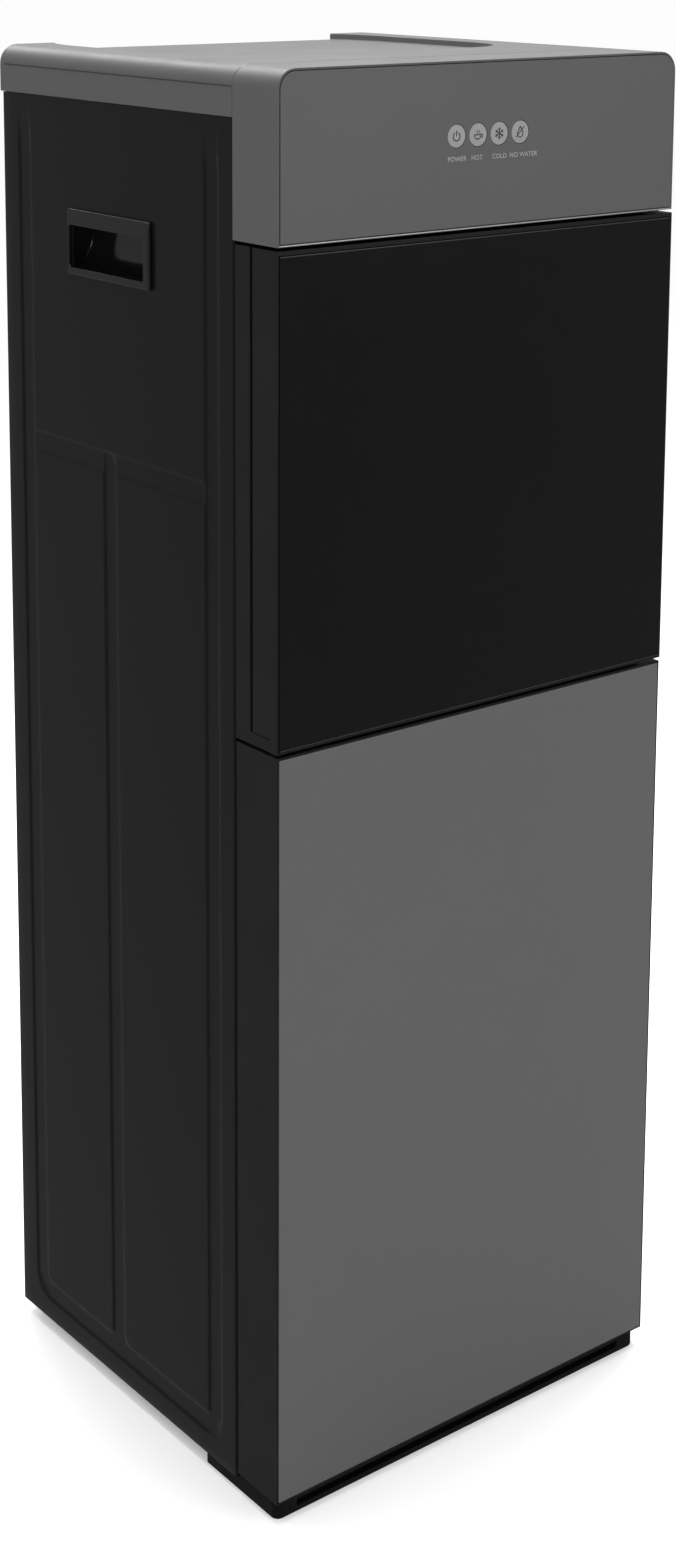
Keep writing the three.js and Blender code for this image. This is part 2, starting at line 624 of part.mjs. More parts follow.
function buildProbe() {
  const { x, depth, bottom, capBottom, capTop, clipZ } = PROBE;
  const stem = 6.5;
  add(
    'probe',
    turned(
      [
        [0, bottom], [3, bottom], [stem, bottom + 10], [stem, capBottom - 14], [12, capBottom - 10],
        [12, capBottom], [27, capBottom], [29, capBottom + 3], [29, capTop - 4], [25, capTop],
        [0, capTop],
      ],
      x, depth,
    ),
    WHITE_PLASTIC,
  );
  const clip = box(x - 13, x + 13, depth - 2, CABINET_BACK - GAP, clipZ, clipZ + 14);
  const mouth = join(
    rod(stem + 0.6, clipZ - 1, clipZ + 15, x, depth),
    box(x - stem - 0.6, x + stem + 0.6, depth - 12, depth, clipZ - 1, clipZ + 15),
  );
  add('probe_clip', cut(clip, mouth), BLACK_PLASTIC);

  const pumpUnderside = CEILING_Z + LINER + 8;
  add(
    'probe_hose',
    tube(
      [
        [x + 12, depth - 6, capTop + GAP],
        [x + 12, depth - 6, capTop + 3],
        [x + 15, depth - 7, capTop + 5],
        [x + 24, depth - 10, capTop + 5.4],
        [-60, 272, capTop + 5.2],
        [-22, 256, capTop + 5.2],
        [-6, HOSE_TOP_DEPTH + 1, capTop + 5.6],
        [-1, HOSE_TOP_DEPTH, capTop + 7.5],
        [0, HOSE_TOP_DEPTH, CEILING_Z + 1],
        [0, HOSE_TOP_DEPTH, pumpUnderside - 1.5],
      ],
      HOSE_RADIUS,
    ),
    WHITE_PLASTIC,
  );
}

// ---- Cooling, heating and pumping, behind the bay -----------------------------------------------------
const TANK_DEPTH = 264;
const COLD_TANK = { x: 80, depth: TANK_DEPTH, radius: 64, bottom: 760, top: 960, wall: 14, chamfer: 12 };
const HOT_TANK = { x: -80, depth: TANK_DEPTH, radius: 56, bottom: 790, top: 950, wall: 1.5, chamfer: 12 };
const COMPRESSOR = { x: 80, depth: 268, radius: 62, height: 150, wall: 9, chamfer: 26 };
const PUMP = { x: -40, depth: 250, half: 30, halfDepth: 35, height: 40, motor: 20, motorTop: 70 };
const PIPE_RADIUS = 4.5;

// A hollow upright vessel with chamfered ends and a port in its lid.
function vessel({ x, depth, radius, bottom: z0, top: z1, wall, chamfer }) {
  const body = (inset) =>
    turned(
      [
        [0, z0 + inset], [radius - chamfer, z0 + inset], [radius - inset, z0 + chamfer],
        [radius - inset, z1 - chamfer], [radius - chamfer, z1 - inset], [0, z1 - inset],
      ],
      x, depth,
    );
  return cut(body(0), body(wall), rod(6, z1 - wall - 1, z1 + 1, x, depth, 12));
}

function buildInside() {
  const shelfTop = SHELF_Z + SHEET + GAP;
  add(
    'water_pump',
    join(
      box(
        PUMP.x - PUMP.half, PUMP.x + PUMP.half, PUMP.depth - PUMP.halfDepth, PUMP.depth + PUMP.halfDepth,
        shelfTop, shelfTop + PUMP.height,
      ),
      rod(PUMP.motor, shelfTop + PUMP.height - 2, shelfTop + PUMP.motorTop, PUMP.x, PUMP.depth),
    ),
    WHITE_PLASTIC,
  );
  const compressor = { ...COMPRESSOR, bottom: shelfTop, top: shelfTop + COMPRESSOR.height };
  add('compressor', vessel(compressor), BLACK_STEEL);
  add('cold_tank', vessel(COLD_TANK), FOAM);
  add('hot_tank', vessel(HOT_TANK), STEEL);
  for (const [name, { x, radius }] of [['cold', COLD_TANK], ['hot', HOT_TANK]]) {
    const sign = Math.sign(x);
    add(
      `${name}_pipe`,
      tube(
        [
          [sign * TAP_X, BAY.back + GAP, TAP_BARREL_Z],
          [sign * TAP_X, 192, TAP_BARREL_Z],
          [sign * (TAP_X + 3), 195, TAP_BARREL_Z],
          [x, TANK_DEPTH - radius - 5, TAP_BARREL_Z],
        ],
        PIPE_RADIUS,
      ),
      WHITE_PLASTIC,
    );
  }
}

// ---- Rear ---------------------------------------------------------------------------------------------
const SWITCH_Z = 927;
const SWITCHES = [
  { name: 'hot_switch', x: -20, material: RED },
  { name: 'cold_switch', x: 20, material: GREEN },
];
const SWITCH_HOLE = { halfWidth: 12, halfHeight: 10 };
const BEZEL = { half: 40, halfHeight: 16, thickness: 3, windowHalf: 11.5 };
const DRAIN = { x: -110, z: 640, hole: 10 };
const CORD = { x: 130, z: 100, hole: 8.5 };
const CONDENSER = { half: 120, bottom: 190, passes: 13, pitch: 32, radius: 2.4, sides: 6 };

function condenserRoute() {
  const { half, bottom, passes, pitch, radius, sides } = CONDENSER;
  const depth = BODY_DEPTH + CONDENSER_SPACE - radius * Math.cos(Math.PI / sides);
  const bend = pitch / 2;
  const bendSteps = 5;
  const points = [[-half, depth, bottom]];
  for (let pass = 0; pass < passes; pass += 1) {
    const sign = pass % 2 === 0 ? 1 : -1;
    const z = bottom + pass * pitch;
    points.push([sign * half, depth, z]);
    if (pass === passes - 1) {
      continue;
    }
    for (let step = 1; step <= bendSteps; step += 1) {
      const angle = (Math.PI * step) / bendSteps;
      points.push([sign * (half + bend * Math.sin(angle)), depth, z + bend * (1 - Math.cos(angle))]);
    }
  }
  return points;
}

function buildRear() {
  add('condenser_coil', tube(condenserRoute(), CONDENSER.radius, CONDENSER.sides), BLACK_STEEL);
  const { half: bezelHalf, halfHeight, thickness, windowHalf } = BEZEL;
  const plateFace = BODY_DEPTH + GAP + thickness;
  const windows = SWITCHES.map(({ x }) =>
    box(
      x - windowHalf, x + windowHalf, BODY_DEPTH - 1, plateFace + 1,
      SWITCH_Z - SWITCH_HOLE.halfHeight, SWITCH_Z + SWITCH_HOLE.halfHeight,
    ),
  );
  const bezel = box(
    -bezelHalf, bezelHalf, BODY_DEPTH + GAP, plateFace, SWITCH_Z - halfHeight, SWITCH_Z + halfHeight,
  );
  add('switch_bezel', cut(bezel, ...windows), BLACK_PLASTIC);
  const rocker = { inner: 340, face: 345.5, raised: 347.7, half: 8.8 };
  for (const { name, x, material } of SWITCHES) {
    add(
      name,
      extrudeWidth(
        [
          [rocker.inner, SWITCH_Z - 5], [rocker.face, SWITCH_Z - rocker.half], [rocker.face, SWITCH_Z],
          [rocker.raised, SWITCH_Z + rocker.half], [rocker.inner, SWITCH_Z + 5],
        ],
        x - 10.5, x + 10.5,
      ),
      material,
    );
  }

  add(
    'drain_cap',
    turnedBackwards(
      [[0, 0], [8, 0], [8, 8], [14, 8], [14, 18], [12, 20], [0, 20]], DRAIN.x, BODY_DEPTH - 7, DRAIN.z, 24,
    ),
    BLACK_PLASTIC,
  );
  add(
    'cord_gland',
    turnedBackwards(
      [[0, 0], [7, 0], [7, 6.3], [12, 6.3], [12, 10], [8, 12], [6.5, 16], [0, 16]],
      CORD.x, BODY_DEPTH - 6, CORD.z, 20,
    ),
    RUBBER,
  );
}

buildBase();
buildBody();
buildCover();
buildHead();
buildUpperDoor();
buildLowerDoor();
buildHinges();
buildBay();
buildChildLock();
buildCabinet();
buildProbe();
buildInside();
buildRear();

export default dispenser;
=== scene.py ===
"""Looks for a floor-standing water dispenser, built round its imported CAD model.

The frame is in metres, with +Z up and the front towards -Y. Places on the object are given in millimetres, as
x across, depth behind the front plane and z above the floor, and spot() turns them into points of the frame.
"""

import json
import math

import bmesh
import bpy
from mathutils import Matrix, Vector


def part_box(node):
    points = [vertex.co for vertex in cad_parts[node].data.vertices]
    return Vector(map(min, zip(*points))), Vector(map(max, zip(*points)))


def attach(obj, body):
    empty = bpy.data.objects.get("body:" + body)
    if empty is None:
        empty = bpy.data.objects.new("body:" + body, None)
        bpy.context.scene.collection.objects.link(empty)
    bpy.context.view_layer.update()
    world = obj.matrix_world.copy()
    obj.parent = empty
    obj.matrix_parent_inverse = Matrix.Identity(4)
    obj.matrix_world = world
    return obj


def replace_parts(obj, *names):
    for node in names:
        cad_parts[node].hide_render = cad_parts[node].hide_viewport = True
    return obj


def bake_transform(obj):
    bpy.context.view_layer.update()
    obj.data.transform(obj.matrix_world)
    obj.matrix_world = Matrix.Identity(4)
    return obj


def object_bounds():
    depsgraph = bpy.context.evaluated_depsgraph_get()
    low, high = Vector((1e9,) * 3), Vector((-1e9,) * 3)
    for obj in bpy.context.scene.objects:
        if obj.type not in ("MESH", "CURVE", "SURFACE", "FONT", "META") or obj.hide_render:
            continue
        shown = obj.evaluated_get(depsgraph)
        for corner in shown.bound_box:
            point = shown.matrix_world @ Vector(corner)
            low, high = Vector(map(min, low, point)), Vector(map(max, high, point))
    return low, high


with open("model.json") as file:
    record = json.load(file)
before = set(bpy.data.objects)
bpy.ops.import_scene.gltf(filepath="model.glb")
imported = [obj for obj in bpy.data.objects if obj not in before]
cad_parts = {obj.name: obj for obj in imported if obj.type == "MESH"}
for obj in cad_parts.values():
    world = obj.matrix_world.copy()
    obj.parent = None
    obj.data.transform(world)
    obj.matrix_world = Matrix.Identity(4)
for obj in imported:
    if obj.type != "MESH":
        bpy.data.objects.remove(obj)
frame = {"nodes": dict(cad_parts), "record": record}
cad_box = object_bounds()

MM = 0.001
FRONT = cad_box[0].y
SIDES = ((-1, "left"), (1, "right"))
UP = (0, 0, 1)


def spot(x, depth, z):
    """A point from millimetres: x across, depth behind the front plane, z above the floor."""
    return Vector((x * MM, FRONT + depth * MM, z * MM))


def extents(node):
    """A CAD node's ends in millimetres: (left, right), then (near, far) in depth, then (bottom, top)."""
    low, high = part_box(node)
    depths = ((low.y - FRONT) / MM, (high.y - FRONT) / MM)
    return (low.x / MM, high.x / MM), depths, (low.z / MM, high.z / MM)


# ---------------------------------------------------------------- materials

# A Mix node has a set of sockets for each kind of value. These are the places of its colour ones.
MIX_FACTOR, MIX_FIRST, MIX_SECOND, MIX_RESULT = 0, 6, 7, 2
NOISE_LOW, NOISE_HIGH = 0.3, 0.7  # a noise field seldom leaves this range
MOTTLE_DETAIL = 4.0
GLOSS_DETAIL = 3.0
GLOSS_SIZE = 0.4  # the size of the gloss pattern, as a share of the colour pattern's
GRAIN_DETAIL = 1.0
LEAST_ROUGHNESS = 0.02


class Shader:
    """One material's node tree, with short calls for the nodes it needs."""

    def __init__(self, name):
        self.material = bpy.data.materials.new(name)
        self.material.use_nodes = True
        self.tree = self.material.node_tree
        self.principled = self.tree.nodes["Principled BSDF"]
        self.coordinates = self.tree.nodes.new("ShaderNodeTexCoord").outputs["Object"]

    def node(self, kind, values=None, **links):
        """A node with its plain values set, and then its sockets linked by name."""
        made = self.tree.nodes.new("ShaderNode" + kind)
        for key, value in (values or {}).items():
            if hasattr(made, key):
                setattr(made, key, value)
            else:
                made.inputs[key].default_value = value
        for key, link in links.items():
            self.tree.links.new(link, made.inputs[key])
        return made

    def feed(self, socket, output):
        """Links an output to one of the main shader's sockets."""
        self.tree.links.new(output, self.principled.inputs[socket])

    def noise(self, size, detail, stretch):
        """A noise field whose features are about size metres across, drawn out by stretch."""
        scale = tuple(1 / (size * share) for share in stretch)
        mapping = self.node("Mapping", {"Scale": scale}, Vector=self.coordinates)
        values = {"Scale": 1.0, "Detail": detail}
        return self.node("TexNoise", values, Vector=mapping.outputs["Vector"]).outputs["Fac"]

    def ramp(self, field, low, high):
        """A noise field mapped to low..high."""
        values = {"From Min": NOISE_LOW, "From Max": NOISE_HIGH, "To Min": low, "To Max": high}
        return self.node("MapRange", values, Value=field).outputs["Result"]

    def mix(self, field, first, second):
        """The colour between two fixed colours, by a field from 0 to 1."""
        made = self.node("Mix", {"data_type": "RGBA"})
        made.inputs[MIX_FIRST].default_value = (*first, 1)
        made.inputs[MIX_SECOND].default_value = (*second, 1)
        self.tree.links.new(field, made.inputs[MIX_FACTOR])
        return made.outputs[MIX_RESULT]


def surface(name, colour, roughness, mottle=0.06, mottle_size=0.05, spread=0.05, grain=0.02,
            grain_size=0.0012, stretch=(1, 1, 1), specular=0.5, metallic=0.0):
    """A moulded, painted or rolled finish: a slightly uneven colour and gloss, and a fine grain in relief.

    colour is a grey level or a triple. mottle is how far it strays, in blotches of mottle_size metres, and
    spread is how far the roughness strays. grain is the relief's height in millimetres, in grains of
    grain_size metres.
    """
    shader = Shader(name)
    colour = (colour,) * 3 if isinstance(colour, float) else colour
    darker = tuple(channel * (1 - mottle) for channel in colour)
    lighter = tuple(channel * (1 + mottle) for channel in colour)
    blotches = shader.noise(mottle_size, MOTTLE_DETAIL, stretch)
    shader.feed("Base Color", shader.mix(shader.ramp(blotches, 0.0, 1.0), darker, lighter))
    gloss = shader.noise(mottle_size * GLOSS_SIZE, GLOSS_DETAIL, stretch)
    smoothest = max(LEAST_ROUGHNESS, roughness - spread)
    roughest = min(1.0, roughness + spread)
    shader.feed("Roughness", shader.ramp(gloss, smoothest, roughest))
    relief = shader.noise(grain_size, GRAIN_DETAIL, stretch)
    bump = shader.node("Bump", {"Strength": 1.0, "Distance": grain * MM}, Height=relief)
    shader.feed("Normal", bump.outputs["Normal"])
    shader.principled.inputs["Specular IOR Level"].default_value = specular
    shader.principled.inputs["Metallic"].default_value = metallic
    return shader.material


GREY = surface("grey_housing", 0.063, 0.42, mottle=0.02, mottle_size=0.12, grain=0.012, grain_size=0.0009,
               specular=0.2)
FASCIA_GREY = surface("fascia_grey", 0.064, 0.36, mottle=0.012, mottle_size=0.2, grain=0.006, specular=0.3)
PANEL = surface("grey_panel", 0.0745, 0.36, mottle=0.012, mottle_size=0.2, grain=0.006, specular=0.3)
STEEL_BLACK = surface("black_steel", 0.0039, 0.2, mottle=0.03, mottle_size=0.15, spread=0.03, grain=0.006,
                      grain_size=0.0015, specular=0.15)
PLASTIC_BLACK = surface("black_plastic", 0.0072, 0.4, mottle=0.1, grain=0.012, grain_size=0.001,
                        specular=0.12)
HANDLE_PLASTIC = surface("handle_plastic", 0.003, 0.1, mottle=0.1, spread=0.02, grain=0.002, grain_size=0.001,
                         specular=0.4)
PLINTH_PLASTIC = surface("plinth_plastic", 0.003, 0.5, mottle=0.1, grain=0.012, grain_size=0.001,
                         specular=0.1)
LINER_PLASTIC = surface("liner_plastic", 0.05, 0.4, mottle=0.05, mottle_size=0.06, specular=0.3)
WHITE = surface("white_plastic", (0.72, 0.73, 0.72), 0.4, mottle=0.02, grain=0.01)
RED = surface("red_plastic", (0.36, 0.014, 0.011), 0.35, mottle=0.05, grain=0.01)
BLUE = surface("blue_plastic", (0.015, 0.09, 0.4), 0.35, mottle=0.05, grain=0.01)
GREEN = surface("green_plastic", (0.01, 0.14, 0.05), 0.45, mottle=0.15, mottle_size=0.004, grain=0.03)
HOSE = surface("hose_silicone", (0.5, 0.51, 0.5), 0.35, mottle=0.03, mottle_size=0.01, grain=0.004)
RUBBER = surface("rubber", 0.012, 0.75, mottle=0.15, mottle_size=0.01, grain=0.03, specular=0.2)
FOAM = surface("foam", (0.035, 0.035, 0.036), 0.9, mottle=0.25, mottle_size=0.003, grain=0.25,
               grain_size=0.0018, specular=0.1)
GLASS_BLACK = surface("black_glass", 0.002, 0.12, mottle=0.05, spread=0.03, grain=0.002, grain_size=0.02,
                      specular=0.2)
# A lighter colour painted as the highlight on the glass's bevelled edges.
GLASS_EDGE_HIGHLIGHT = surface("glass_edge_highlight", 0.02, 0.3, mottle=0.05, mottle_size=0.02, grain=0.002, specular=0.4)
LENS = surface("lens", 0.19, 0.3, mottle=0.04, mottle_size=0.01, grain=0.002)
INK = surface("ink", 0.02, 0.5, mottle=0.05, mottle_size=0.002, grain=0.002)
PRINT = surface("print", 0.24, 0.45, mottle=0.05, mottle_size=0.002, grain=0.002)
# A dark colour painted as the shade in the cover's seams.
SHADOW = surface("painted_seam_shade", 0.02, 0.6, mottle=0.1, grain=0.005, specular=0.1)
STEEL = surface("steel", 0.45, 0.3, mottle=0.08, mottle_size=0.004, stretch=(12, 1, 1), grain=0.01,
                grain_size=0.0004, metallic=1.0)
TRIM = surface("trim", 0.5, 0.3, mottle=0.03, mottle_size=0.02, grain=0.002, metallic=1.0)
DARK_SCREW = surface("dark_screw", 0.12, 0.35, mottle=0.2, mottle_size=0.003, grain=0.006, metallic=0.9)
REAR_STEEL = surface("rear_steel", 0.016, 0.42, mottle=0.08, specular=0.3)
WIRE = surface("wire", 0.01, 0.45, mottle=0.1, mottle_size=0.01, grain=0.01, specular=0.4)
FLOOR_PAINT = surface("floor", 0.86, 0.9, mottle=0.005, mottle_size=0.5, grain=0.0, specular=0.0)

SLOTS = {
    "grey_housing": GREY,
    "grey_panel": PANEL,
    "black_steel": STEEL_BLACK,
    "black_plastic": PLASTIC_BLACK,
    "black_glass": GLASS_BLACK,
    "lens": LENS,
    "steel": STEEL,
    "white_plastic": WHITE,
    "red_plastic": RED,
    "blue_plastic": BLUE,
    "green_plastic": GREEN,
    "rubber": RUBBER,
    "foam": FOAM,
}
NODE_SLOT = {part["node"]: part["material_slot"] for part in frame["record"]["subparts"]}
NODE_BODY = {
    node: body for body, nodes in frame["record"]["behaviour"]["bodies"].items() for node in nodes
}

# ---------------------------------------------------------------- shared mesh calls

WELD_CAD = 1e-6  # metres
WELD = 1e-7
SMOOTH_BELOW = 38  # degrees between two faces that still shade as one
BEVEL_ABOVE = 28  # degrees at an edge of the CAD that gets rounded
FLAT_BELOW = 0.5  # degrees between two triangles of one flat face
BEVEL_SEGMENTS = 2
EDGE_ROUNDING = 0.4


def add_piece(bm, name, material, body="cabinet", sharp=SMOOTH_BELOW, thickness=0.0):
    """The bmesh as an object that rides on a body, shaded as one up to sharp degrees between its faces.

    An open sheet gets a thickness in millimetres, inwards from its outer side. A piece given no body is
    left unattached.
    """
    mesh = bpy.data.meshes.new(name)
    for face in bm.faces:
        face.smooth = True
    bm.to_mesh(mesh)
    bm.free()
    mesh.materials.append(material)
    made = bpy.data.objects.new(name, mesh)
    bpy.context.scene.collection.objects.link(made)
    mesh.set_sharp_from_angle(angle=math.radians(sharp))
    if thickness:
        solid = made.modifiers.new("thickness", "SOLIDIFY")
        solid.thickness = thickness * MM
        solid.offset = -1.0
        solid.use_even_offset = True
    weighted = made.modifiers.new("weighted", "WEIGHTED_NORMAL")
    weighted.keep_sharp = True
    if body:
        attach(made, body)
    return made


def round_edges(bm, edges, width, segments=BEVEL_SEGMENTS):
    """Rounds the edges by width millimetres."""
    bmesh.ops.bevel(bm, geom=edges, offset=width * MM, offset_type="OFFSET", segments=segments, profile=0.5,
                    affect="EDGES", clamp_overlap=True)


def refined(node, width, material=None):
    """A copy of a CAD node with its sharp edges rounded by width millimetres. It stands for the node."""
    bm = bmesh.new()
    bm.from_mesh(frame["nodes"][node].data)
    bmesh.ops.remove_doubles(bm, verts=bm.verts, dist=WELD_CAD)
    bmesh.ops.dissolve_limit(bm, angle_limit=math.radians(FLAT_BELOW), verts=bm.verts, edges=bm.edges)
    limit = math.radians(BEVEL_ABOVE)
    edges = [edge for edge in bm.edges if edge.is_manifold and edge.calc_face_angle(0) > limit]
    round_edges(bm, edges, width)
    slot = NODE_SLOT[node]
    made = add_piece(bm, node + "_look", material or SLOTS[slot], NODE_BODY[node])
    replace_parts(made, node)


def rounded_outline(u0, u1, v0, v1, radius, steps=4):
    """Points round a rectangle with rounded corners, anticlockwise from the lower right."""
    points = []
    centres = [(u1 - radius, v0 + radius), (u1 - radius, v1 - radius), (u0 + radius, v1 - radius),
               (u0 + radius, v0 + radius)]
    for quarter, (cu, cv) in enumerate(centres):
        for step in range(steps + 1):
            angle = math.pi / 2 * (quarter - 1 + step / steps)
            points.append((cu + radius * math.cos(angle), cv + radius * math.sin(angle)))
    return points


def loft(bm, loops, cap_start=False, cap_end=False, closed=True):
    """Quads between successive loops of points with the same count, and a cap at either end if asked."""
    rings = [[bm.verts.new(point) for point in loop] for loop in loops]
    count = len(rings[0])
    for lower, upper in zip(rings, rings[1:]):
        for i in range(count if closed else count - 1):
            j = (i + 1) % count
            bm.faces.new((lower[i], lower[j], upper[j], upper[i]))
    if cap_start:
        bm.faces.new(rings[0][::-1])
    if cap_end:
        bm.faces.new(rings[-1])


def settle(bm):
    """Merges points that fall together and turns every face outwards."""
    bmesh.ops.remove_doubles(bm, verts=bm.verts, dist=WELD)
    bmesh.ops.recalc_face_normals(bm, faces=bm.faces)


def block(name, low, high, width, material, body="cabinet", segments=BEVEL_SEGMENTS):
    """A bar or plate between two corners in millimetres (x, depth, z), its edges rounded by width."""
    bm = bmesh.new()
    bmesh.ops.create_cube(bm, size=1.0)
    middle = (spot(*low) + spot(*high)) / 2
    size = spot(*high) - spot(*low)
    for vert in bm.verts:
        vert.co = Vector(tuple(c * s for c, s in zip(vert.co, size))) + middle
    round_edges(bm, bm.edges[:], width, segments)
    add_piece(bm, name, material, body)


def prism(bm, outline, place, height):
    """A flat shape raised by height: place turns an outline point and a height into a point."""
    bottom = [bm.verts.new(place(u, v, 0.0)) for u, v in outline]
    top = [bm.verts.new(place(u, v, height)) for u, v in outline]
    bm.faces.new(bottom)
    bm.faces.new(top[::-1])
    for i in range(len(outline)):
        j = (i + 1) % len(outline)
        bm.faces.new((bottom[i], top[i], top[j], bottom[j]))


def arc_strip(cu, cv, radius, width, start, end, steps=24):
    """A curved stroke of the given width round a centre, from start to end degrees."""
    angles = [math.radians(start + (end - start) * k / steps) for k in range(steps + 1)]
    far, near = radius + width / 2, radius - width / 2
    outer = [(cu + far * math.cos(angle), cv + far * math.sin(angle)) for angle in angles]
    inner = [(cu + near * math.cos(angle), cv + near * math.sin(angle)) for angle in angles]
    return outer + inner[::-1]


def line_strip(u0, v0, u1, v1, width):
    """A straight stroke of the given width between two points."""
    length = math.hypot(u1 - u0, v1 - v0)
    nu, nv = -(v1 - v0) / length * width / 2, (u1 - u0) / length * width / 2
    return [(u0 + nu, v0 + nv), (u0 - nu, v0 - nv), (u1 - nu, v1 - nv), (u1 + nu, v1 + nv)]


def spun(bm, profile, centre, axis, steps=32):
    """A turned shape: profile is (distance from centre along the axis, radius) pairs in millimetres."""
    turn = Vector(UP).rotation_difference(Vector(axis)).to_matrix()
    loops = []
    for along, radius in profile:
        ring = []
        for k in range(steps):
            angle = 2 * math.pi * k / steps
            offset = Vector((radius * math.cos(angle), radius * math.sin(angle), along)) * MM
            ring.append(centre + turn @ offset)
        loops.append(ring)
    loft(bm, loops, cap_start=True, cap_end=True)


BAR_END_SHARE = 0.7  # a bar's end face, as a share of its radius
BAR_END_LENGTH = 0.3  # the length of its narrowed end, as a share of its radius


def swept(bm, points, radius, steps=10, narrowed=True):
    """A round bar of radius millimetres along points of the frame, its very ends narrowed if asked."""
    tangents = []
    for i in range(len(points)):
        ahead = points[min(i + 1, len(points) - 1)]
        behind = points[max(i - 1, 0)]
        tangents.append((ahead - behind).normalized())
    across = tangents[0].orthogonal().normalized()
    stations = [(point, tangent, 1.0) for point, tangent in zip(points, tangents)]
    if narrowed:
        step = radius * MM * BAR_END_LENGTH
        stations[0] = (points[0], tangents[0], BAR_END_SHARE)
        stations.insert(1, (points[0] + tangents[0] * step, tangents[0], 1.0))
        stations[-1] = (points[-1], tangents[-1], BAR_END_SHARE)
        stations.insert(-1, (points[-1] - tangents[-1] * step, tangents[-1], 1.0))
    loops = []
    for point, tangent, share in stations:
        across = (across - tangent * across.dot(tangent)).normalized()
        other = tangent.cross(across)
        ring = []
        for k in range(steps):
            angle = 2 * math.pi * k / steps
            offset = across * math.cos(angle) + other * math.sin(angle)
            ring.append(point + offset * radius * MM * share)
        loops.append(ring)
    loft(bm, loops, cap_start=True, cap_end=True)


SCREW_DOME = ((-0.3, 1.0), (0.5, 1.0), (1.1, 0.86), (1.5, 0.6))  # height in mm, share of the head's radius
CROSS_REACH = 0.5  # share of the head's radius
CROSS_WIDTH = 0.5
CROSS_RISE = 0.12
CROSS_TURN = 0.3  # radians


def screw(bm, centre, axis, radius):
    """A pan-head screw with a fine raised cross for its drive, on a face at centre that looks along axis."""
    spun(bm, [(height, radius * share) for height, share in SCREW_DOME], centre, axis, steps=20)
    turn = Vector(UP).rotation_difference(Vector(axis)).to_matrix()
    top = SCREW_DOME[-1][0]
    for angle in (CROSS_TURN, CROSS_TURN + math.pi / 2):
        du, dv = math.cos(angle) * radius * CROSS_REACH, math.sin(angle) * radius * CROSS_REACH
        bar = line_strip(-du, -dv, du, dv, CROSS_WIDTH)
        prism(bm, bar, lambda u, v, h: centre + turn @ (Vector((u, v, top + h)) * MM), CROSS_RISE)


def screws(name, places, axis, radius, material):
    """A row of screws as one piece, with their places in millimetres."""
    bm = bmesh.new()
    for place in places:
        screw(bm, spot(*place), axis, radius)
    settle(bm)
    add_piece(bm, name, material)


# ---------------------------------------------------------------- side panels

PANEL_FACE = 179.0
PANEL_EDGE = 1.8  # the radius of its front edge
PANEL_EDGE_STEPS = 4
PANEL_FOLD = 13.0  # how far its front fold reaches inwards
PANEL_THICKNESS = 1.0
COARSE_ACROSS = 24  # the widest gap between the panel's lines where it is flat
COARSE_UP = 30

# The beads are pressed grooves: a tall ring with rounded corners, which fades out near the top, a level and
# shallower one across it, and an upright one below that.
BEAD_DEPTH = 1.15
BEAD_CROSS_DEPTH = 0.6
BEAD_FLOOR = 6.0  # half the width of a groove's flat floor
BEAD_SLOPE = 3.0  # the width of its wall
BEAD_FRONT = 76.0  # the middle lines of the grooves
BEAD_REAR = 314.0
BEAD_MIDDLE = 203.0
BEAD_BOTTOM = 35.0
BEAD_HEIGHT = 1100.0
BEAD_CROSS = 729.0
BEAD_CORNER = 13.0
BEAD_BLEND = 3.0  # how softly the upright meets the ring
BEAD_UPRIGHT_END = 43.0
BEAD_FADE_ROWS = (940.0, 950.0, 962.0, 976.0)  # the fade's start, two rows within it and its end
# The panel has lines of points at these distances from a bead's middle, closest on the bead's walls.
BEAD_WALL = [BEAD_FLOOR + BEAD_SLOPE * k / 4 for k in range(5)]
BEAD_HALF = [0, 3, *BEAD_WALL, 11, 13, 17]
BEAD_LINES = sorted({sign * offset for sign in (-1, 1) for offset in BEAD_HALF})

# The opening in the panel, which the handle's flange covers.
HOLE_NEAR, HOLE_FAR, HOLE_LOW, HOLE_HIGH = 150.0, 248.0, 864.0, 906.0


def smooth(t):
    """An even step from 0 to 1 as t goes from 0 to 1."""
    t = min(1.0, max(0.0, t))
    return t * t * (3 - 2 * t)


def bead_depth(depth, z):
    """How far the pressed beads sink the panel at a place on it."""
    half_u = (BEAD_REAR - BEAD_FRONT) / 2
    half_v = BEAD_HEIGHT / 2
    u = abs(depth - (BEAD_FRONT + BEAD_REAR) / 2) - half_u + BEAD_CORNER
    v = abs(z - BEAD_BOTTOM - half_v) - half_v + BEAD_CORNER
    ring = abs(math.hypot(max(u, 0), max(v, 0)) + min(max(u, v), 0) - BEAD_CORNER)
    upright = math.hypot(depth - BEAD_MIDDLE, max(z - BEAD_CROSS, BEAD_UPRIGHT_END - z, 0))
    nearest = -BEAD_BLEND * math.log(sum(math.exp(-gap / BEAD_BLEND) for gap in (ring, upright)))
    fade = 1 - smooth((z - BEAD_FADE_ROWS[0]) / (BEAD_FADE_ROWS[-1] - BEAD_FADE_ROWS[0]))
    main = BEAD_DEPTH * fade * (1 - smooth((nearest - BEAD_FLOOR) / BEAD_SLOPE))
    cross = math.hypot(max(BEAD_FRONT - depth, depth - BEAD_REAR, 0), z - BEAD_CROSS)
    return max(main, BEAD_CROSS_DEPTH * (1 - smooth((cross - BEAD_FLOOR) / BEAD_SLOPE)))


def grid_lines(start, end, coarse, dense):
    """Sorted positions from start to end: gaps of at most coarse, and closer lines round each dense place."""
    close = [place + offset for place in dense for offset in BEAD_LINES]
    lines = sorted({round(v, 3) for v in close if start < v < end} | {start, end})
    filled = [lines[0]]
    for value in lines[1:]:
        gap = value - filled[-1]
        parts = max(1, math.ceil(gap / coarse))
        filled += [filled[-1] + gap * k / parts for k in range(1, parts)] + [value]
    return filled


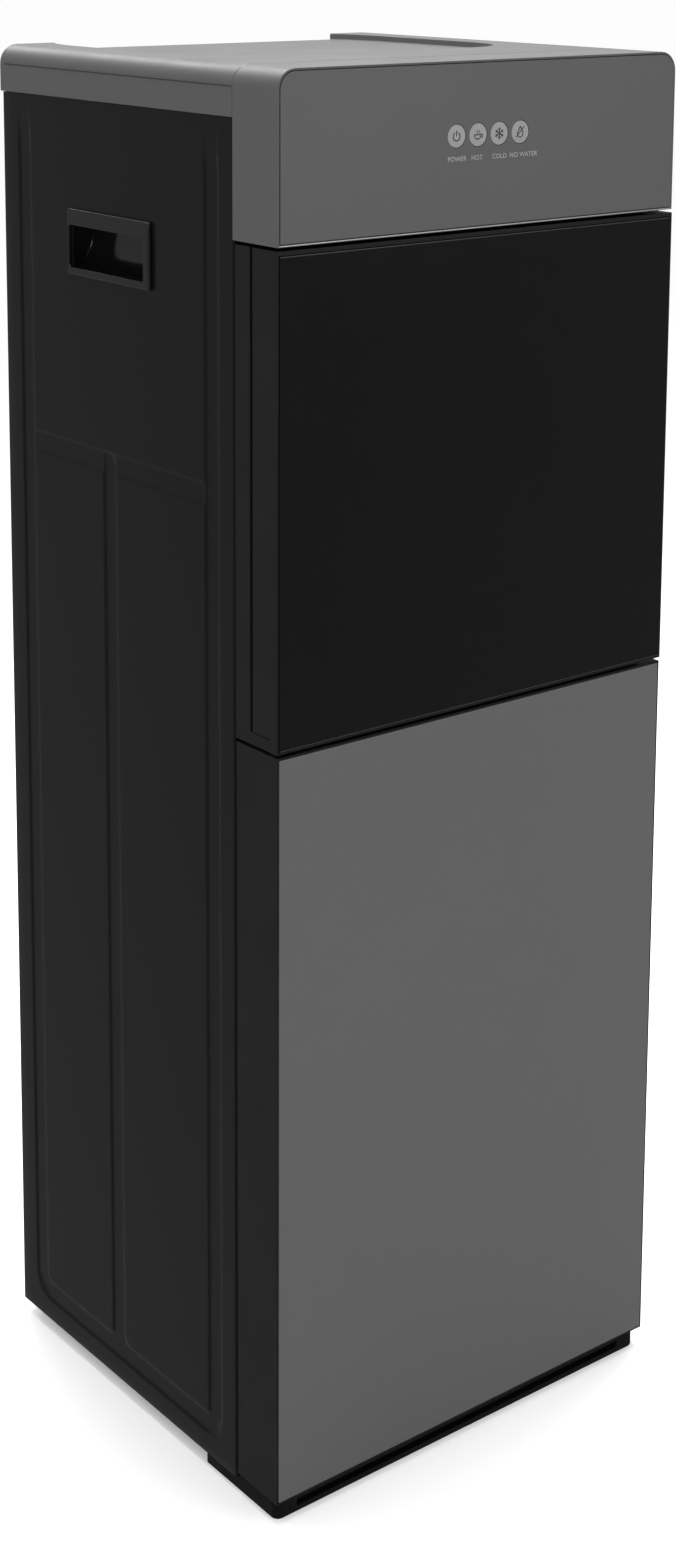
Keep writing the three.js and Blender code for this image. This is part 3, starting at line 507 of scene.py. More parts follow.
def panel_columns(near, far):
    """The panel's outline seen from above, as (x, depth): its front fold, its rounded edge and its face."""
    columns = [(PANEL_FACE - PANEL_FOLD, near), (PANEL_FACE - PANEL_FOLD / 2, near)]
    for step in range(PANEL_EDGE_STEPS):
        angle = math.pi / 2 * step / PANEL_EDGE_STEPS
        x = PANEL_FACE - PANEL_EDGE * (1 - math.sin(angle))
        columns.append((x, near + PANEL_EDGE * (1 - math.cos(angle))))
    inner = grid_lines(near + PANEL_EDGE, far, COARSE_ACROSS, (BEAD_FRONT, BEAD_MIDDLE, BEAD_REAR))
    return columns + [(PANEL_FACE, depth) for depth in sorted({*inner, HOLE_NEAR, HOLE_FAR})]


def in_hole(face):
    """Whether a face of the panel lies in the opening for the handle."""
    centre = face.calc_center_median()
    return HOLE_NEAR < (centre.y - FRONT) / MM < HOLE_FAR and HOLE_LOW < centre.z / MM < HOLE_HIGH


def side_panel(side, node):
    """A steel side with a front fold, a rounded front edge, pressed beads and the opening for its handle."""
    _, (near, far), (bottom, top) = extents(node)
    columns = panel_columns(near, far)
    rows = sorted({*grid_lines(bottom, top, COARSE_UP, (BEAD_BOTTOM, BEAD_CROSS)), HOLE_LOW, HOLE_HIGH,
                   *BEAD_FADE_ROWS})
    loops = []
    for z in rows:
        sunk = [bead_depth(depth, z) if x == PANEL_FACE else 0 for x, depth in columns]
        loops.append([spot(side * (x - drop), depth, z) for (x, depth), drop in zip(columns, sunk)])
    bm = bmesh.new()
    loft(bm, loops, closed=False)
    bmesh.ops.delete(bm, geom=[face for face in bm.faces if in_hole(face)], context="FACES")
    bmesh.ops.recalc_face_normals(bm, faces=bm.faces)
    if sum(face.normal.x for face in bm.faces) * side < 0:
        bmesh.ops.reverse_faces(bm, faces=bm.faces)
    made = add_piece(bm, node + "_look", STEEL_BLACK, thickness=PANEL_THICKNESS)
    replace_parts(made, node)


for side, word in SIDES:
    side_panel(side, "side_panel_" + word)

# ---------------------------------------------------------------- carrying handles

HANDLE_NEAR, HANDLE_FAR, HANDLE_LOW, HANDLE_HIGH = 146.0, 252.0, 861.0, 909.0
MOUTH_NEAR, MOUTH_FAR, MOUTH_LOW, MOUTH_HIGH = 154.0, 249.5, 866.5, 897.0
FLANGE_FACE = 182.0
FLANGE_BASE = PANEL_FACE - 0.5
FLANGE_CORNER = 2.5
FLANGE_OUTSIDE = ((1.3, 0.0), (0.7, 0.15), (0.25, 0.55), (0.0, 1.3))  # depth below the face, inset
FLANGE_INSIDE = ((0.0, 0.9), (0.3, 0.3), (0.9, 0.0))  # depth below the face, how far outside the mouth
MOUTH_CORNER = 2.0
SCOOP_CORNER = 1.8
SCOOP_START = PANEL_FACE + 1.2
SCOOP_REACH = 19.5
SCOOP_RISE = 25.0
SCOOP_STEPS = 12
HANDLE_THICKNESS = 1.2
HANDLE_SMOOTH = 50


def handle(side, node):
    """A raised flange with rounded edges round a grip that is scooped up and inwards."""

    def loop(x, u0, u1, v0, v1, radius):
        return [spot(side * x, u, v) for u, v in rounded_outline(u0, u1, v0, v1, radius, steps=5)]

    def flange(x, inset):
        near, far = HANDLE_NEAR + inset, HANDLE_FAR - inset
        return loop(x, near, far, HANDLE_LOW + inset, HANDLE_HIGH - inset, FLANGE_CORNER - inset / 2)

    loops = [flange(FLANGE_BASE, 0)]
    loops += [flange(FLANGE_FACE - below, inset) for below, inset in FLANGE_OUTSIDE]
    for below, outset in FLANGE_INSIDE:
        near, far = MOUTH_NEAR - outset, MOUTH_FAR + outset
        low, high = MOUTH_LOW - outset, MOUTH_HIGH + outset
        loops.append(loop(FLANGE_FACE - below, near, far, low, high, MOUTH_CORNER))
    for step in range(SCOOP_STEPS + 1):
        angle = math.pi / 2 * step / SCOOP_STEPS
        x = SCOOP_START - SCOOP_REACH * math.sin(angle)
        floor_z = MOUTH_LOW + SCOOP_RISE * (1 - math.cos(angle))
        loops.append(loop(x, MOUTH_NEAR, MOUTH_FAR, floor_z, MOUTH_HIGH, SCOOP_CORNER))
    bm = bmesh.new()
    loft(bm, loops, cap_end=True)
    settle(bm)
    made = add_piece(bm, node + "_look", HANDLE_PLASTIC, sharp=HANDLE_SMOOTH, thickness=HANDLE_THICKNESS)
    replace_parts(made, node)


for side, word in SIDES:
    handle(side, "handle_" + word)

# ---------------------------------------------------------------- control head

ICON_SPACING = 19.3
ICON_OFFSET = -0.5
ICON_Z = 971.3
ICON_FACE = 0.1
ICON_RISE = 0.12
ICON_STEP = 0.01  # each stroke stands this much higher than the last, so none share a face
WORD_SIZE = 4.7
WORD_RISE = 0.05
WORD_SPACING = 1.05
WORD_FACE = -0.03
WORD_Z = 954.2
# Each indicator's name, its word and how far the word stands to the right of its icon.
INDICATORS = (
    ("power", "POWER", 0.5),
    ("hot", "HOT", -0.9),
    ("cold", "COLD", 0.3),
    ("no_water", "NO WATER", 3.2),
)


ARM_START, ARM_END = 0.3, 4.0
ARM_WIDTH = 0.7
BRANCH_START = 2.2
BRANCH_LENGTH = 1.4
BRANCH_LEAN = 0.7  # radians
BRANCH_WIDTH = 0.5


def snowflake():
    """Six arms, each with two short branches."""
    strokes = []
    for k in range(6):
        angle = math.radians(30 + 60 * k)
        u, v = math.cos(angle), math.sin(angle)
        strokes.append((line_strip, ARM_START * u, ARM_START * v, ARM_END * u, ARM_END * v, ARM_WIDTH))
        start_u, start_v = BRANCH_START * u, BRANCH_START * v
        for lean in (-BRANCH_LEAN, BRANCH_LEAN):
            end_u = start_u + BRANCH_LENGTH * math.cos(angle + lean)
            end_v = start_v + BRANCH_LENGTH * math.sin(angle + lean)
            strokes.append((line_strip, start_u, start_v, end_u, end_v, BRANCH_WIDTH))
    return strokes


# Each symbol's strokes round its own centre, each as arc_strip or line_strip and the numbers that it takes.
SYMBOLS = {
    "power": [
        (arc_strip, 0.0, -0.3, 3.0, 0.8, 125, 415),
        (line_strip, 0.0, -0.2, 0.0, 3.6, 0.8),
    ],
    "hot": [
        (arc_strip, -0.4, 0.0, 3.0, 0.7, 180, 360),
        (line_strip, -3.75, 0.0, 2.95, 0.0, 0.7),
        (arc_strip, 2.9, -0.9, 1.2, 0.6, -80, 95),
        (arc_strip, -1.6, 2.0, 0.9, 0.45, -70, 70),
        (arc_strip, 0.3, 2.0, 0.9, 0.45, -70, 70),
    ],
    "cold": snowflake(),
    "no_water": [
        (arc_strip, 0.0, -1.1, 2.5, 0.7, -205, 25),
        (line_strip, -2.4, -0.3, 0.0, 4.0, 0.7),
        (line_strip, 2.4, -0.3, 0.0, 4.0, 0.7),
        (line_strip, -3.6, -3.4, 3.6, 3.6, 0.6),
    ],
}


def icon_x(index):
    """Where an indicator's centre is across the fascia, counted from the left."""
    return (index - (len(INDICATORS) - 1) / 2) * ICON_SPACING + ICON_OFFSET


def icon(name, centre_x):
    """An indicator's symbol, in thin strokes on its lens."""

    def place(u, v, h):
        return spot(centre_x + u, ICON_FACE - h, ICON_Z + v)

    bm = bmesh.new()
    for k, (strip, *numbers) in enumerate(SYMBOLS[name]):
        prism(bm, strip(*numbers), place, ICON_RISE + ICON_STEP * k)
    bmesh.ops.recalc_face_normals(bm, faces=bm.faces)
    add_piece(bm, "icon_" + name, INK)


def printed_word(name, text, centre_x):
    """A word under an indicator, as thin raised letters."""
    label = bpy.data.curves.new("word_" + name, "FONT")
    label.body = text
    label.size = WORD_SIZE * MM
    label.extrude = WORD_RISE * MM
    label.align_x = "CENTER"
    label.space_character = WORD_SPACING
    written = bpy.data.objects.new("word_" + name, label)
    bpy.context.scene.collection.objects.link(written)
    upright = Matrix.Rotation(math.pi / 2, 4, "X")
    written.matrix_world = Matrix.Translation(spot(centre_x, WORD_FACE, WORD_Z)) @ upright
    bpy.context.view_layer.update()
    graph = bpy.context.evaluated_depsgraph_get()
    mesh = bpy.data.meshes.new_from_object(written.evaluated_get(graph))
    mesh.transform(written.matrix_world)
    bpy.data.objects.remove(written)
    bm = bmesh.new()
    bm.from_mesh(mesh)
    bmesh.ops.remove_doubles(bm, verts=bm.verts, dist=WELD)
    add_piece(bm, "word_" + name, PRINT)


for index, (name, _, _) in enumerate(INDICATORS):
    icon(name, icon_x(index))
for index, (name, text, aside) in enumerate(INDICATORS):
    printed_word(name, text, icon_x(index) + aside)

# Dark strips along both sides of the cover, painted shade where its rounded top meets the skirt.
SEAM_Z = 1008.0
SEAM_X = 180.05
SEAM_HALF = 0.35
SEAM_NEAR, SEAM_FAR = 51.0, 338.0
SEAM_ROUNDING = 0.2
for side, word in SIDES:
    low = (side * SEAM_X - SEAM_HALF, SEAM_NEAR, SEAM_Z - SEAM_HALF)
    high = (side * SEAM_X + SEAM_HALF, SEAM_FAR, SEAM_Z + SEAM_HALF)
    block("cover_seam_" + word, low, high, SEAM_ROUNDING, SHADOW, segments=1)

# The joint between the fascia housing and the cover, across the top, as a dark strip painted as the shade in
# the gap.
TOP_SEAM_X = 166.0
TOP_SEAM_NEAR, TOP_SEAM_FAR = -0.3, 0.6  # behind the housing's rear edge
TOP_SEAM_SUNK, TOP_SEAM_PROUD = 0.5, 0.04
TOP_SEAM_ROUNDING = 0.02
(housing_left, housing_right), (housing_near, housing_far), (housing_bottom, _) = extents("fascia_housing")
_, _, (_, cover_top) = extents("top_cover")
block("cover_seam_top", (-TOP_SEAM_X, housing_far + TOP_SEAM_NEAR, cover_top - TOP_SEAM_SUNK),
      (TOP_SEAM_X, housing_far + TOP_SEAM_FAR, cover_top + TOP_SEAM_PROUD), TOP_SEAM_ROUNDING, SHADOW,
      segments=1)

# ---------------------------------------------------------------- doors

GASKET_SMOOTH = 60
GASKET_WIDTH = 7.5
GASKET_EDGE = 1.2
GASKET_CORNER = 6.0
GASKET_MIDDLE_CORNER = 4.8
GASKET_MOUTH_CORNER = 3.6
GASKET_SHOULDER = 0.7  # share of the gasket's height
GASKET_DIP = 0.25  # how far its crown dips along the middle, as a share of its height


def gasket(name, outline, base, crown, body):
    """A soft ring just inside the rectangle (x0, x1, z0, z1), its crown dipped. base and crown are depths."""
    x0, x1, z0, z1 = outline
    height = crown - base
    shoulder = base + height * GASKET_SHOULDER

    def loop(inset, depth, corner):
        points = rounded_outline(x0 + inset, x1 - inset, z0 + inset, z1 - inset, corner)
        return [spot(u, depth, v) for u, v in points]

    loops = [
        loop(0, base, GASKET_CORNER),
        loop(0, shoulder, GASKET_CORNER),
        loop(GASKET_EDGE, crown, GASKET_CORNER - GASKET_EDGE / 2),
        loop(GASKET_WIDTH / 2, crown - height * GASKET_DIP, GASKET_MIDDLE_CORNER),
        loop(GASKET_WIDTH - GASKET_EDGE, crown, GASKET_MOUTH_CORNER + GASKET_EDGE / 2),
        loop(GASKET_WIDTH, shoulder, GASKET_MOUTH_CORNER),
        loop(GASKET_WIDTH, base, GASKET_MOUTH_CORNER),
    ]
    bm = bmesh.new()
    loft(bm, loops + [loops[0]])
    settle(bm)
    add_piece(bm, name, RUBBER, body, sharp=GASKET_SMOOTH)


# The liner's steps inwards from its edge, as (inset, depth behind its inner face).
LINER_STEPS = ((17, 0.0), (18.2, -1.2), (20, -1.6), (26, -1.6), (27.5, -1.2), (28.7, 0.0), (29.5, 0.3))
LINER_CORNER = 14.0
LINER_CORNER_LOSS = 0.35  # how much the corner shrinks with each millimetre of inset
LINER_LEAST_CORNER = 1.5
LINER_EDGE = 0.5
LINER_SMOOTH = 50
LINER_RIB_HEIGHT = 1.3
LINER_RIB_ROOT = 0.5
LINER_RIB_ROUNDING = 0.78
LINER_RIB_X = (-110, -40, 30, 100)
LINER_RIB_WIDTH = 10


def door_liner(name, node, body, rib_bottom, rib_top):
    """A door's pressed inner skin: a rounded groove near its edge and a raised field with upright ribs."""
    (left, right), (outer_face, inner_face), (bottom, top) = extents(node)

    def loop(inset, depth):
        radius = max(LINER_LEAST_CORNER, LINER_CORNER - inset * LINER_CORNER_LOSS)
        points = rounded_outline(left + inset, right - inset, bottom + inset, top - inset, radius)
        return [spot(u, depth, v) for u, v in points]

    loops = [loop(0, outer_face), loop(0, inner_face - LINER_EDGE), loop(LINER_EDGE, inner_face)]
    loops += [loop(inset, inner_face + depth) for inset, depth in LINER_STEPS]
    bm = bmesh.new()
    loft(bm, loops, cap_start=True, cap_end=True)
    settle(bm)
    made = add_piece(bm, name, LINER_PLASTIC, body, sharp=LINER_SMOOTH)
    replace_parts(made, node)
    field = inner_face + LINER_STEPS[-1][1]
    for k, x in enumerate(LINER_RIB_X):
        low = (x, field - LINER_RIB_ROOT, rib_bottom)
        high = (x + LINER_RIB_WIDTH, field + LINER_RIB_HEIGHT, rib_top)
        block(f"{name}_rib_{k}", low, high, LINER_RIB_ROUNDING, LINER_PLASTIC, body)


door_liner("upper_door_inner", "upper_door_liner", "upper_door", 640, 840)
door_liner("lower_door_inner", "lower_door_liner", "lower_door", 90, 490)

UPPER_GASKET = (-160, 159, 585, 896)
UPPER_GASKET_ROOT, UPPER_GASKET_RISE = 0.4, 2.2
LOWER_GASKET = (-161.5, 160.5, 25, 556)
LOWER_GASKET_BASE, LOWER_GASKET_CROWN = 46.5, 49.2
_, (_, upper_door_back), _ = extents("upper_door_frame")
gasket("upper_door_gasket", UPPER_GASKET, upper_door_back - UPPER_GASKET_ROOT,
       upper_door_back + UPPER_GASKET_RISE, "upper_door")
gasket("lower_door_gasket", LOWER_GASKET, LOWER_GASKET_BASE, LOWER_GASKET_CROWN, "lower_door")

# A bright trim along the fascia housing's lower front edge.
TRIM_INSET = 1.2
TRIM_NEAR, TRIM_FAR = -0.05, 0.8  # behind the housing's front
TRIM_LOW, TRIM_HIGH = 0.25, 1.15  # above the housing's bottom
TRIM_ROUNDING = 0.25
block("fascia_trim", (housing_left + TRIM_INSET, housing_near + TRIM_NEAR, housing_bottom + TRIM_LOW),
      (housing_right - TRIM_INSET, housing_near + TRIM_FAR, housing_bottom + TRIM_HIGH), TRIM_ROUNDING, TRIM)

# The top and bottom edges of the upper door's glass, as strips of a lighter colour painted as the highlight
# on their bevels.
GLASS_INSET = 0.6
GLASS_STRIP = 0.8
GLASS_NEAR, GLASS_FAR = -0.04, 0.8
GLASS_ROUNDING = 0.2
(glass_left, glass_right), _, (glass_bottom, glass_top) = extents("upper_door_glass")
for word, strip_bottom in (("bottom", glass_bottom), ("top", glass_top - GLASS_STRIP)):
    low = (glass_left + GLASS_INSET, GLASS_NEAR, strip_bottom)
    high = (glass_right - GLASS_INSET, GLASS_FAR, strip_bottom + GLASS_STRIP)
    block("glass_edge_highlight_" + word, low, high, GLASS_ROUNDING, GLASS_EDGE_HIGHLIGHT, "upper_door")

# ---------------------------------------------------------------- dispensing bay

BAY_BACK = 187.5
BAY_RIB_X = (-132, -114, -96, -15, 0, 15, 96, 114, 132)
BAY_RIB_HALF = 2.5
BAY_RIB_LOW, BAY_RIB_HIGH = 622, 800
BAY_RIB_PROUD, BAY_RIB_ROOT = 1.2, 0.4
BAY_RIB_ROUNDING = 0.8
for k, x in enumerate(BAY_RIB_X):
    low = (x - BAY_RIB_HALF, BAY_BACK - BAY_RIB_PROUD, BAY_RIB_LOW)
    high = (x + BAY_RIB_HALF, BAY_BACK + BAY_RIB_ROOT, BAY_RIB_HIGH)
    block(f"bay_rib_{k}", low, high, BAY_RIB_ROUNDING, LINER_PLASTIC)

TAP_X = 45.0
TAP_DEPTH = 150.0
TAP_Z = 832
TAP_FLANGE_GAP = 0.1  # in front of the bay's back wall
TAPS = ((-1, "hot", RED, "red_plastic"), (1, "cold", BLUE, "blue_plastic"))
# Turned profiles: height above the floor or distance from the wall, and radius.
TAP_COLLAR = ((808, 11.9), (808.4, 12.6), (811.6, 13.1), (812, 12.6))
TAP_FLANGE = ((0, 17.0), (0, 20.5), (1.6, 21.5), (3.0, 20.5), (3.0, 17.0))
LEVER_RIDGES = 3
RIDGE_DEPTH = 102.0
RIDGE_PITCH = 5.0
RIDGE_Z = 858.06
RIDGE_RISE = 0.44  # the lever's slope
RIDGE_HALF = 9
RIDGE_WIDTH = 1.6
RIDGE_HEIGHT = 1.9
RIDGE_ROUNDING = 0.5


def turned(name, profile, centre, axis, material):
    """A turned piece of the cabinet."""
    bm = bmesh.new()
    spun(bm, profile, centre, axis, steps=48)
    settle(bm)
    add_piece(bm, name, material)


for side, word, colour, slot in TAPS:
    x = side * TAP_X
    turned(word + "_tap_collar", TAP_COLLAR, spot(x, TAP_DEPTH, 0), UP, STEEL)
    wall_spot = spot(x, BAY_BACK - TAP_FLANGE_GAP, TAP_Z)
    turned(word + "_tap_flange", TAP_FLANGE, wall_spot, (0, -1, 0), PLASTIC_BLACK)
    for k in range(LEVER_RIDGES):
        depth = RIDGE_DEPTH + RIDGE_PITCH * k
        z = RIDGE_Z + RIDGE_PITCH * RIDGE_RISE * k
        low = (x - RIDGE_HALF, depth, z)
        high = (x + RIDGE_HALF, depth + RIDGE_WIDTH, z + RIDGE_HEIGHT)
        block(f"{word}_lever_grip_{k}", low, high, RIDGE_ROUNDING, colour, word + "_lever")

# ---------------------------------------------------------------- bottle compartment

CABINET_BACK = 330.0
BACK_RIB_PITCH = 40
BACK_RIB_X = -120
BACK_RIB_HALF = 3
BACK_RIB_LOW, BACK_RIB_HIGH = 70, 515
BACK_RIB_PROUD, BACK_RIB_ROOT = 1.3, 0.3
BACK_RIB_ROUNDING = 0.9
for k in range(1, 7):  # the probe hangs where rib 0 would be
    x = BACK_RIB_X + BACK_RIB_PITCH * k
    low = (x - BACK_RIB_HALF, CABINET_BACK - BACK_RIB_PROUD, BACK_RIB_LOW)
    high = (x + BACK_RIB_HALF, CABINET_BACK + BACK_RIB_ROOT, BACK_RIB_HIGH)
    block(f"cabinet_back_rib_{k}", low, high, BACK_RIB_ROUNDING, LINER_PLASTIC)

WALL_RIB_INNER, WALL_RIB_OUTER = 158.8, 160.2
WALL_RIB_NEAR, WALL_RIB_FAR = 75, 315
WALL_RIB_LEVELS = (150, 270, 390)
WALL_RIB_WIDTH = 6
WALL_RIB_ROUNDING = 0.6
for side, word in SIDES:
    left, right = sorted((side * WALL_RIB_INNER, side * WALL_RIB_OUTER))
    for k, z in enumerate(WALL_RIB_LEVELS):
        low = (left, WALL_RIB_NEAR, z)
        high = (right, WALL_RIB_FAR, z + WALL_RIB_WIDTH)
        block(f"cabinet_wall_rib_{word}_{k}", low, high, WALL_RIB_ROUNDING, LINER_PLASTIC)

FLOOR_Z = 28.5
RING_DEPTH = 190
RING_RADII = (118.0, 70.0)
RING_STEPS = 72
# A ring's cross section, as (height above the compartment's floor, distance outside the ring's radius).
RING_SECTION = ((-0.3, -4), (1.2, -3.4), (1.8, -2), (1.8, 2), (1.2, 3.4), (-0.3, 4))
ring_centre = spot(0, RING_DEPTH, FLOOR_Z)
for k, radius in enumerate(RING_RADII):
    loops = []
    for height, outside in RING_SECTION:
        reach = radius + outside
        angles = [2 * math.pi * n / RING_STEPS for n in range(RING_STEPS)]
        offsets = [Vector((reach * math.cos(angle), reach * math.sin(angle), height)) for angle in angles]
        loops.append([ring_centre + offset * MM for offset in offsets])
    bm = bmesh.new()
    loft(bm, loops + [loops[0]])
    settle(bm)
    add_piece(bm, f"floor_ring_{k}", LINER_PLASTIC)

HOSE_ROUTE = (
    (-108, 290, 548.3), (-108, 290, 551), (-105, 289, 553), (-96, 286, 553.4), (-60, 272, 553.2),
    (-22, 256, 553.2), (-6, 251, 553.6), (-1, 250, 555.5), (0, 250, 559), (0, 250, 566.5),
)
HOSE_RADIUS = 4.0


def flowing(points, steps=6):
    """A smooth line through the points."""
    padded = [points[0]] + list(points) + [points[-1]]
    line = []
    for a, b, c, d in zip(padded, padded[1:], padded[2:], padded[3:]):
        for k in range(steps):
            t = k / steps
            line.append(0.5 * ((2 * b) + (c - a) * t + (2 * a - 5 * b + 4 * c - d) * t * t
                               + (3 * b - a - 3 * c + d) * t * t * t))
    return line + [points[-1]]


hose = bmesh.new()
swept(hose, flowing([spot(*point) for point in HOSE_ROUTE]), HOSE_RADIUS, steps=14, narrowed=False)
settle(hose)
hose_piece = add_piece(hose, "probe_hose_look", HOSE, None)
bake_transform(hose_piece)
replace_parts(hose_piece, "probe_hose")

HINGE_SCREWS = ((171, 20, 564.9), (171, 50, 564.9))
HINGE_SCREW_RADIUS = 2.6
screws("mid_hinge_screws", HINGE_SCREWS, UP, HINGE_SCREW_RADIUS, STEEL)

# ---------------------------------------------------------------- rear

COIL_PASSES = 13
COIL_RADIUS = 2.4
COIL_BEND_STEPS = 14
(coil_left, coil_right), (coil_near, coil_far), (coil_bottom, coil_top) = extents("condenser_coil")


def coil_route():
    """The condenser tube's centre line: level passes joined by half-round bends."""
    depth = (coil_near + coil_far) / 2
    pitch = (coil_top - coil_bottom - 2 * COIL_RADIUS) / (COIL_PASSES - 1)
    bend = pitch / 2
    half = (coil_right - coil_left) / 2 - COIL_RADIUS - bend
    points = []
    for k in range(COIL_PASSES):
        side = 1 if k % 2 == 0 else -1
        z = coil_bottom + COIL_RADIUS + k * pitch
        points += [spot(-side * half, depth, z), spot(side * half, depth, z)]
        if k < COIL_PASSES - 1:
            for step in range(1, COIL_BEND_STEPS):
                angle = math.pi * step / COIL_BEND_STEPS
                rise = bend * (1 - math.cos(angle))
                points.append(spot(side * (half + bend * math.sin(angle)), depth, z + rise))
    return points


coil = bmesh.new()
swept(coil, coil_route(), COIL_RADIUS, steps=12)
settle(coil)
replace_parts(add_piece(coil, "condenser_coil_look", WIRE), "condenser_coil")

WIRE_PITCH = 15.0
WIRE_COUNT = 18
WIRE_RADIUS = 0.8
WIRE_OVERHANG = 8
WIRE_DEPTH = coil_near - 0.6
wires = bmesh.new()
for k in range(WIRE_COUNT):
    x = (k - (WIRE_COUNT - 1) / 2) * WIRE_PITCH
    ends = [spot(x, WIRE_DEPTH, z) for z in (coil_bottom - WIRE_OVERHANG, coil_top + WIRE_OVERHANG)]
    swept(wires, ends, WIRE_RADIUS, steps=6)
settle(wires)
add_piece(wires, "condenser_wires", WIRE)

REAR_FACE = 343.0
BRACKET_X = 141.0
BRACKET_HALF = 7
BRACKET_HEIGHT = 12
BRACKET_ROUNDING = 0.8
BRACKET_NEAR, BRACKET_FAR = REAR_FACE - 0.4, coil_near + 3.0
BRACKET_LEVELS = (("low", coil_bottom + 10), ("high", coil_top - 22))
for side, word in SIDES:
    x = side * BRACKET_X
    for level, z in BRACKET_LEVELS:
        low = (x - BRACKET_HALF, BRACKET_NEAR, z)
        high = (x + BRACKET_HALF, BRACKET_FAR, z + BRACKET_HEIGHT)
        block(f"condenser_bracket_{word}_{level}", low, high, BRACKET_ROUNDING, RUBBER)

REAR_SCREW_X = 170.0
REAR_SCREW_LEVELS = (45, 260, 480, 700, 940)
REAR_SCREW_RADIUS = 3.2
rear_places = [(side * REAR_SCREW_X, z) for side, _ in SIDES for z in REAR_SCREW_LEVELS]
rear_places += [(-80, 975), (80, 975), (-60, 36), (60, 36)]
rear_screws = [(x, REAR_FACE, z) for x, z in rear_places]
screws("rear_panel_screws", rear_screws, (0, 1, 0), REAR_SCREW_RADIUS, DARK_SCREW)

LOUVRE_CENTRES = (-65.0, 65.0)
LOUVRE_HALF = 52.0
LOUVRE_ROWS = 9
LOUVRE_Z = 690.0
LOUVRE_PITCH = 18.0
GUSSET_WIDTH = 0.8
HOOD_SMOOTH = 30
# Cross sections of a hood and of the plate that closes its end, as (distance behind the rear panel, height).
HOOD = ((-0.3, 5.0), (0.6, 5.0), (3.9, -2.4), (3.9, -3.2), (3.2, -3.3), (-0.3, 4.0))
GUSSET = ((-0.3, 5.0), (0.6, 5.0), (3.9, -2.4), (3.9, -3.2), (-0.3, -3.4))
HOOD_PARTS = (
    (HOOD, -LOUVRE_HALF, LOUVRE_HALF),
    (GUSSET, -LOUVRE_HALF - GUSSET_WIDTH, -LOUVRE_HALF),
    (GUSSET, LOUVRE_HALF, LOUVRE_HALF + GUSSET_WIDTH),
)
hoods = bmesh.new()
for row in range(LOUVRE_ROWS):
    z = LOUVRE_Z + LOUVRE_PITCH * row
    for x in LOUVRE_CENTRES:
        for outline, start, end in HOOD_PARTS:
            prism(hoods, outline, lambda u, v, h: spot(x + start + h, REAR_FACE + u, z + v), end - start)
bmesh.ops.recalc_face_normals(hoods, faces=hoods.faces)
add_piece(hoods, "louvre_hoods", REAR_STEEL, sharp=HOOD_SMOOTH)

# ---------------------------------------------------------------- the rest of the CAD

EDGE_WIDTH = {
    "top_cover": 0.8,
    "fascia_housing": 0.6,
    "fascia_panel": 0.5,
    "upper_door_glass": 0.6,
    "upper_door_frame": 0.4,
    "lower_door_panel": 0.5,
    "lower_door_frame": 0.6,
    "plinth": 1.2,
    "front_casing": 0.5,
    "hot_lever": 1.0,
    "cold_lever": 1.0,
    "hot_tap": 0.7,
    "cold_tap": 0.7,
    "drip_tray": 1.0,
    "probe": 0.8,
    "child_lock": 0.7,
    "hot_switch": 0.6,
    "cold_switch": 0.6,
    "drain_cap": 0.7,
    "compressor": 1.5,
    "cold_tank": 1.0,
    "hot_tank": 1.0,
    "water_pump": 0.8,
}
# These nodes have pieces of their own above.
CUSTOM = (
    "side_panel_left", "side_panel_right", "handle_left", "handle_right",
    "upper_door_liner", "lower_door_liner", "probe_hose", "condenser_coil",
)
LINED = (
    "cabinet_wall_left", "cabinet_wall_right", "cabinet_back", "cabinet_floor", "cabinet_ceiling",
    "bay_liner", "drip_tray",
)
NODE_FINISH = {"rear_panel": REAR_STEEL, "fascia_panel": FASCIA_GREY, "plinth": PLINTH_PLASTIC}
NODE_FINISH.update({node: LINER_PLASTIC for node in LINED})
for node in sorted(frame["nodes"]):
    if node not in CUSTOM:
        refined(node, EDGE_WIDTH.get(node, EDGE_ROUNDING), NODE_FINISH.get(node))

# ---------------------------------------------------------------- floor, light and camera

FLOOR_HALF = 30.0
FLOOR_GLOW = 0.12
floor_corners = [(x * FLOOR_HALF, y * FLOOR_HALF, 0) for x, y in ((-1, -1), (1, -1), (1, 1), (-1, 1))]
floor_mesh = bpy.data.meshes.new("floor")
floor_mesh.from_pydata(floor_corners, [], [(0, 1, 2, 3)])
floor_mesh.materials.append(FLOOR_PAINT)
floor_shader = FLOOR_PAINT.node_tree.nodes["Principled BSDF"]
floor_shader.inputs["Emission Color"].default_value = (1, 1, 1, 1)
floor_shader.inputs["Emission Strength"].default_value = FLOOR_GLOW
floor = bpy.data.objects.new("floor", floor_mesh)
bpy.context.scene.collection.objects.link(floor)
floor.visible_glossy = False


def softbox(name, place, aim, size, power):
    """A square soft light that the camera doesn't see, from place towards aim."""
    light = bpy.data.lights.new(name, "AREA")
    light.shape = "SQUARE"
    light.size = size
    light.energy = power
    made = bpy.data.objects.new(name, light)
    bpy.context.scene.collection.objects.link(made)
    made.location = place
    made.rotation_euler = (Vector(aim) - Vector(place)).to_track_quat("-Z", "Y").to_euler()
    made.visible_camera = False


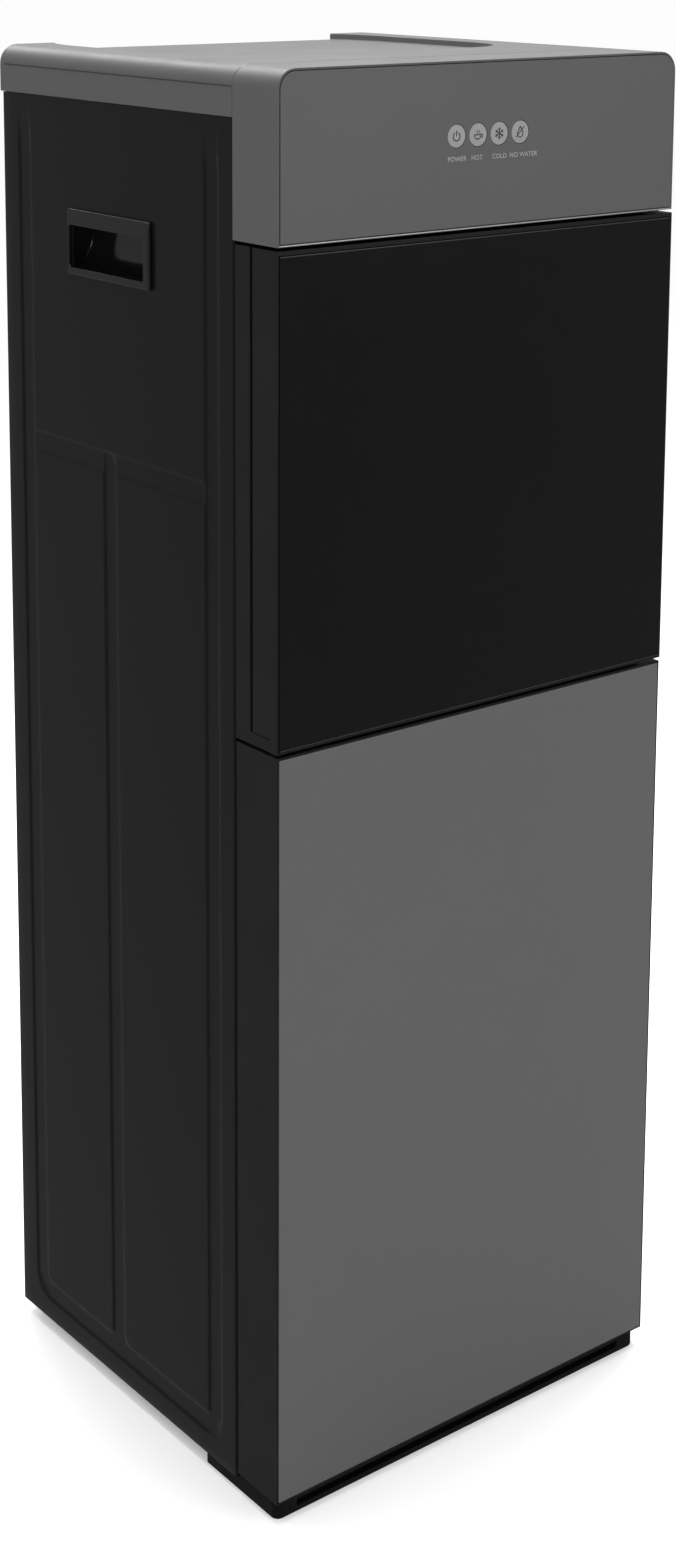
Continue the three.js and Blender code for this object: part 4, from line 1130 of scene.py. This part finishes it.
softbox("top_light", (0.15, 0.15, 2.0), (0, 0, 1.0), 1.0, 55.0)
softbox("front_light", (1.2, -2.6, 1.5), (0, 0, 0.5), 1.8, 14.0)
softbox("side_light", (-2.0, -0.9, 1.7), (0, 0, 0.7), 0.6, 12.0)
softbox("right_light", (2.0, 0.5, 1.6), (0, 0, 0.6), 0.6, 8.0)
softbox("back_light", (0.1, 2.1, 2.3), (0, 0, 0.9), 0.8, 13.0)

# The studio is white. Reflections see it dimmed, so that dark gloss stays dark.
STUDIO_LIGHT = 1.0
STUDIO_REFLECTION = 0.35
world = bpy.data.worlds.new("studio")
bpy.context.scene.world = world
world.use_nodes = True
backdrop = world.node_tree.nodes["Background"]
backdrop.inputs["Color"].default_value = (1, 1, 1, 1)
light_path = world.node_tree.nodes.new("ShaderNodeLightPath")
glossy = world.node_tree.nodes.new("ShaderNodeMapRange")
glossy.inputs["To Min"].default_value = STUDIO_LIGHT
glossy.inputs["To Max"].default_value = STUDIO_REFLECTION
world.node_tree.links.new(light_path.outputs["Is Glossy Ray"], glossy.inputs["Value"])
world.node_tree.links.new(glossy.outputs["Result"], backdrop.inputs["Strength"])

CAMERA_PLACE = (-1.1061, -1.4193, 1.1186)
CAMERA_YAW = 0.6674
CAMERA_PITCH = 0.1665
CAMERA_ROLL = 0.0049
CAMERA_LENS = 56.4
CAMERA_SENSOR = 36.0
CAMERA_SHIFT = -0.292
camera_data = bpy.data.cameras.new("camera")
camera_data.lens = CAMERA_LENS
camera_data.sensor_width = CAMERA_SENSOR
camera_data.shift_y = CAMERA_SHIFT
camera = bpy.data.objects.new("camera", camera_data)
bpy.context.scene.collection.objects.link(camera)
turn = Matrix.Rotation(-CAMERA_YAW, 4, "Z")
tip = Matrix.Rotation(math.pi / 2 - CAMERA_PITCH, 4, "X")
lean = Matrix.Rotation(CAMERA_ROLL, 4, "Z")
camera.matrix_world = Matrix.Translation(CAMERA_PLACE) @ turn @ tip @ lean
bpy.context.scene.camera = camera
bpy.context.scene.view_settings.view_transform = "Standard"
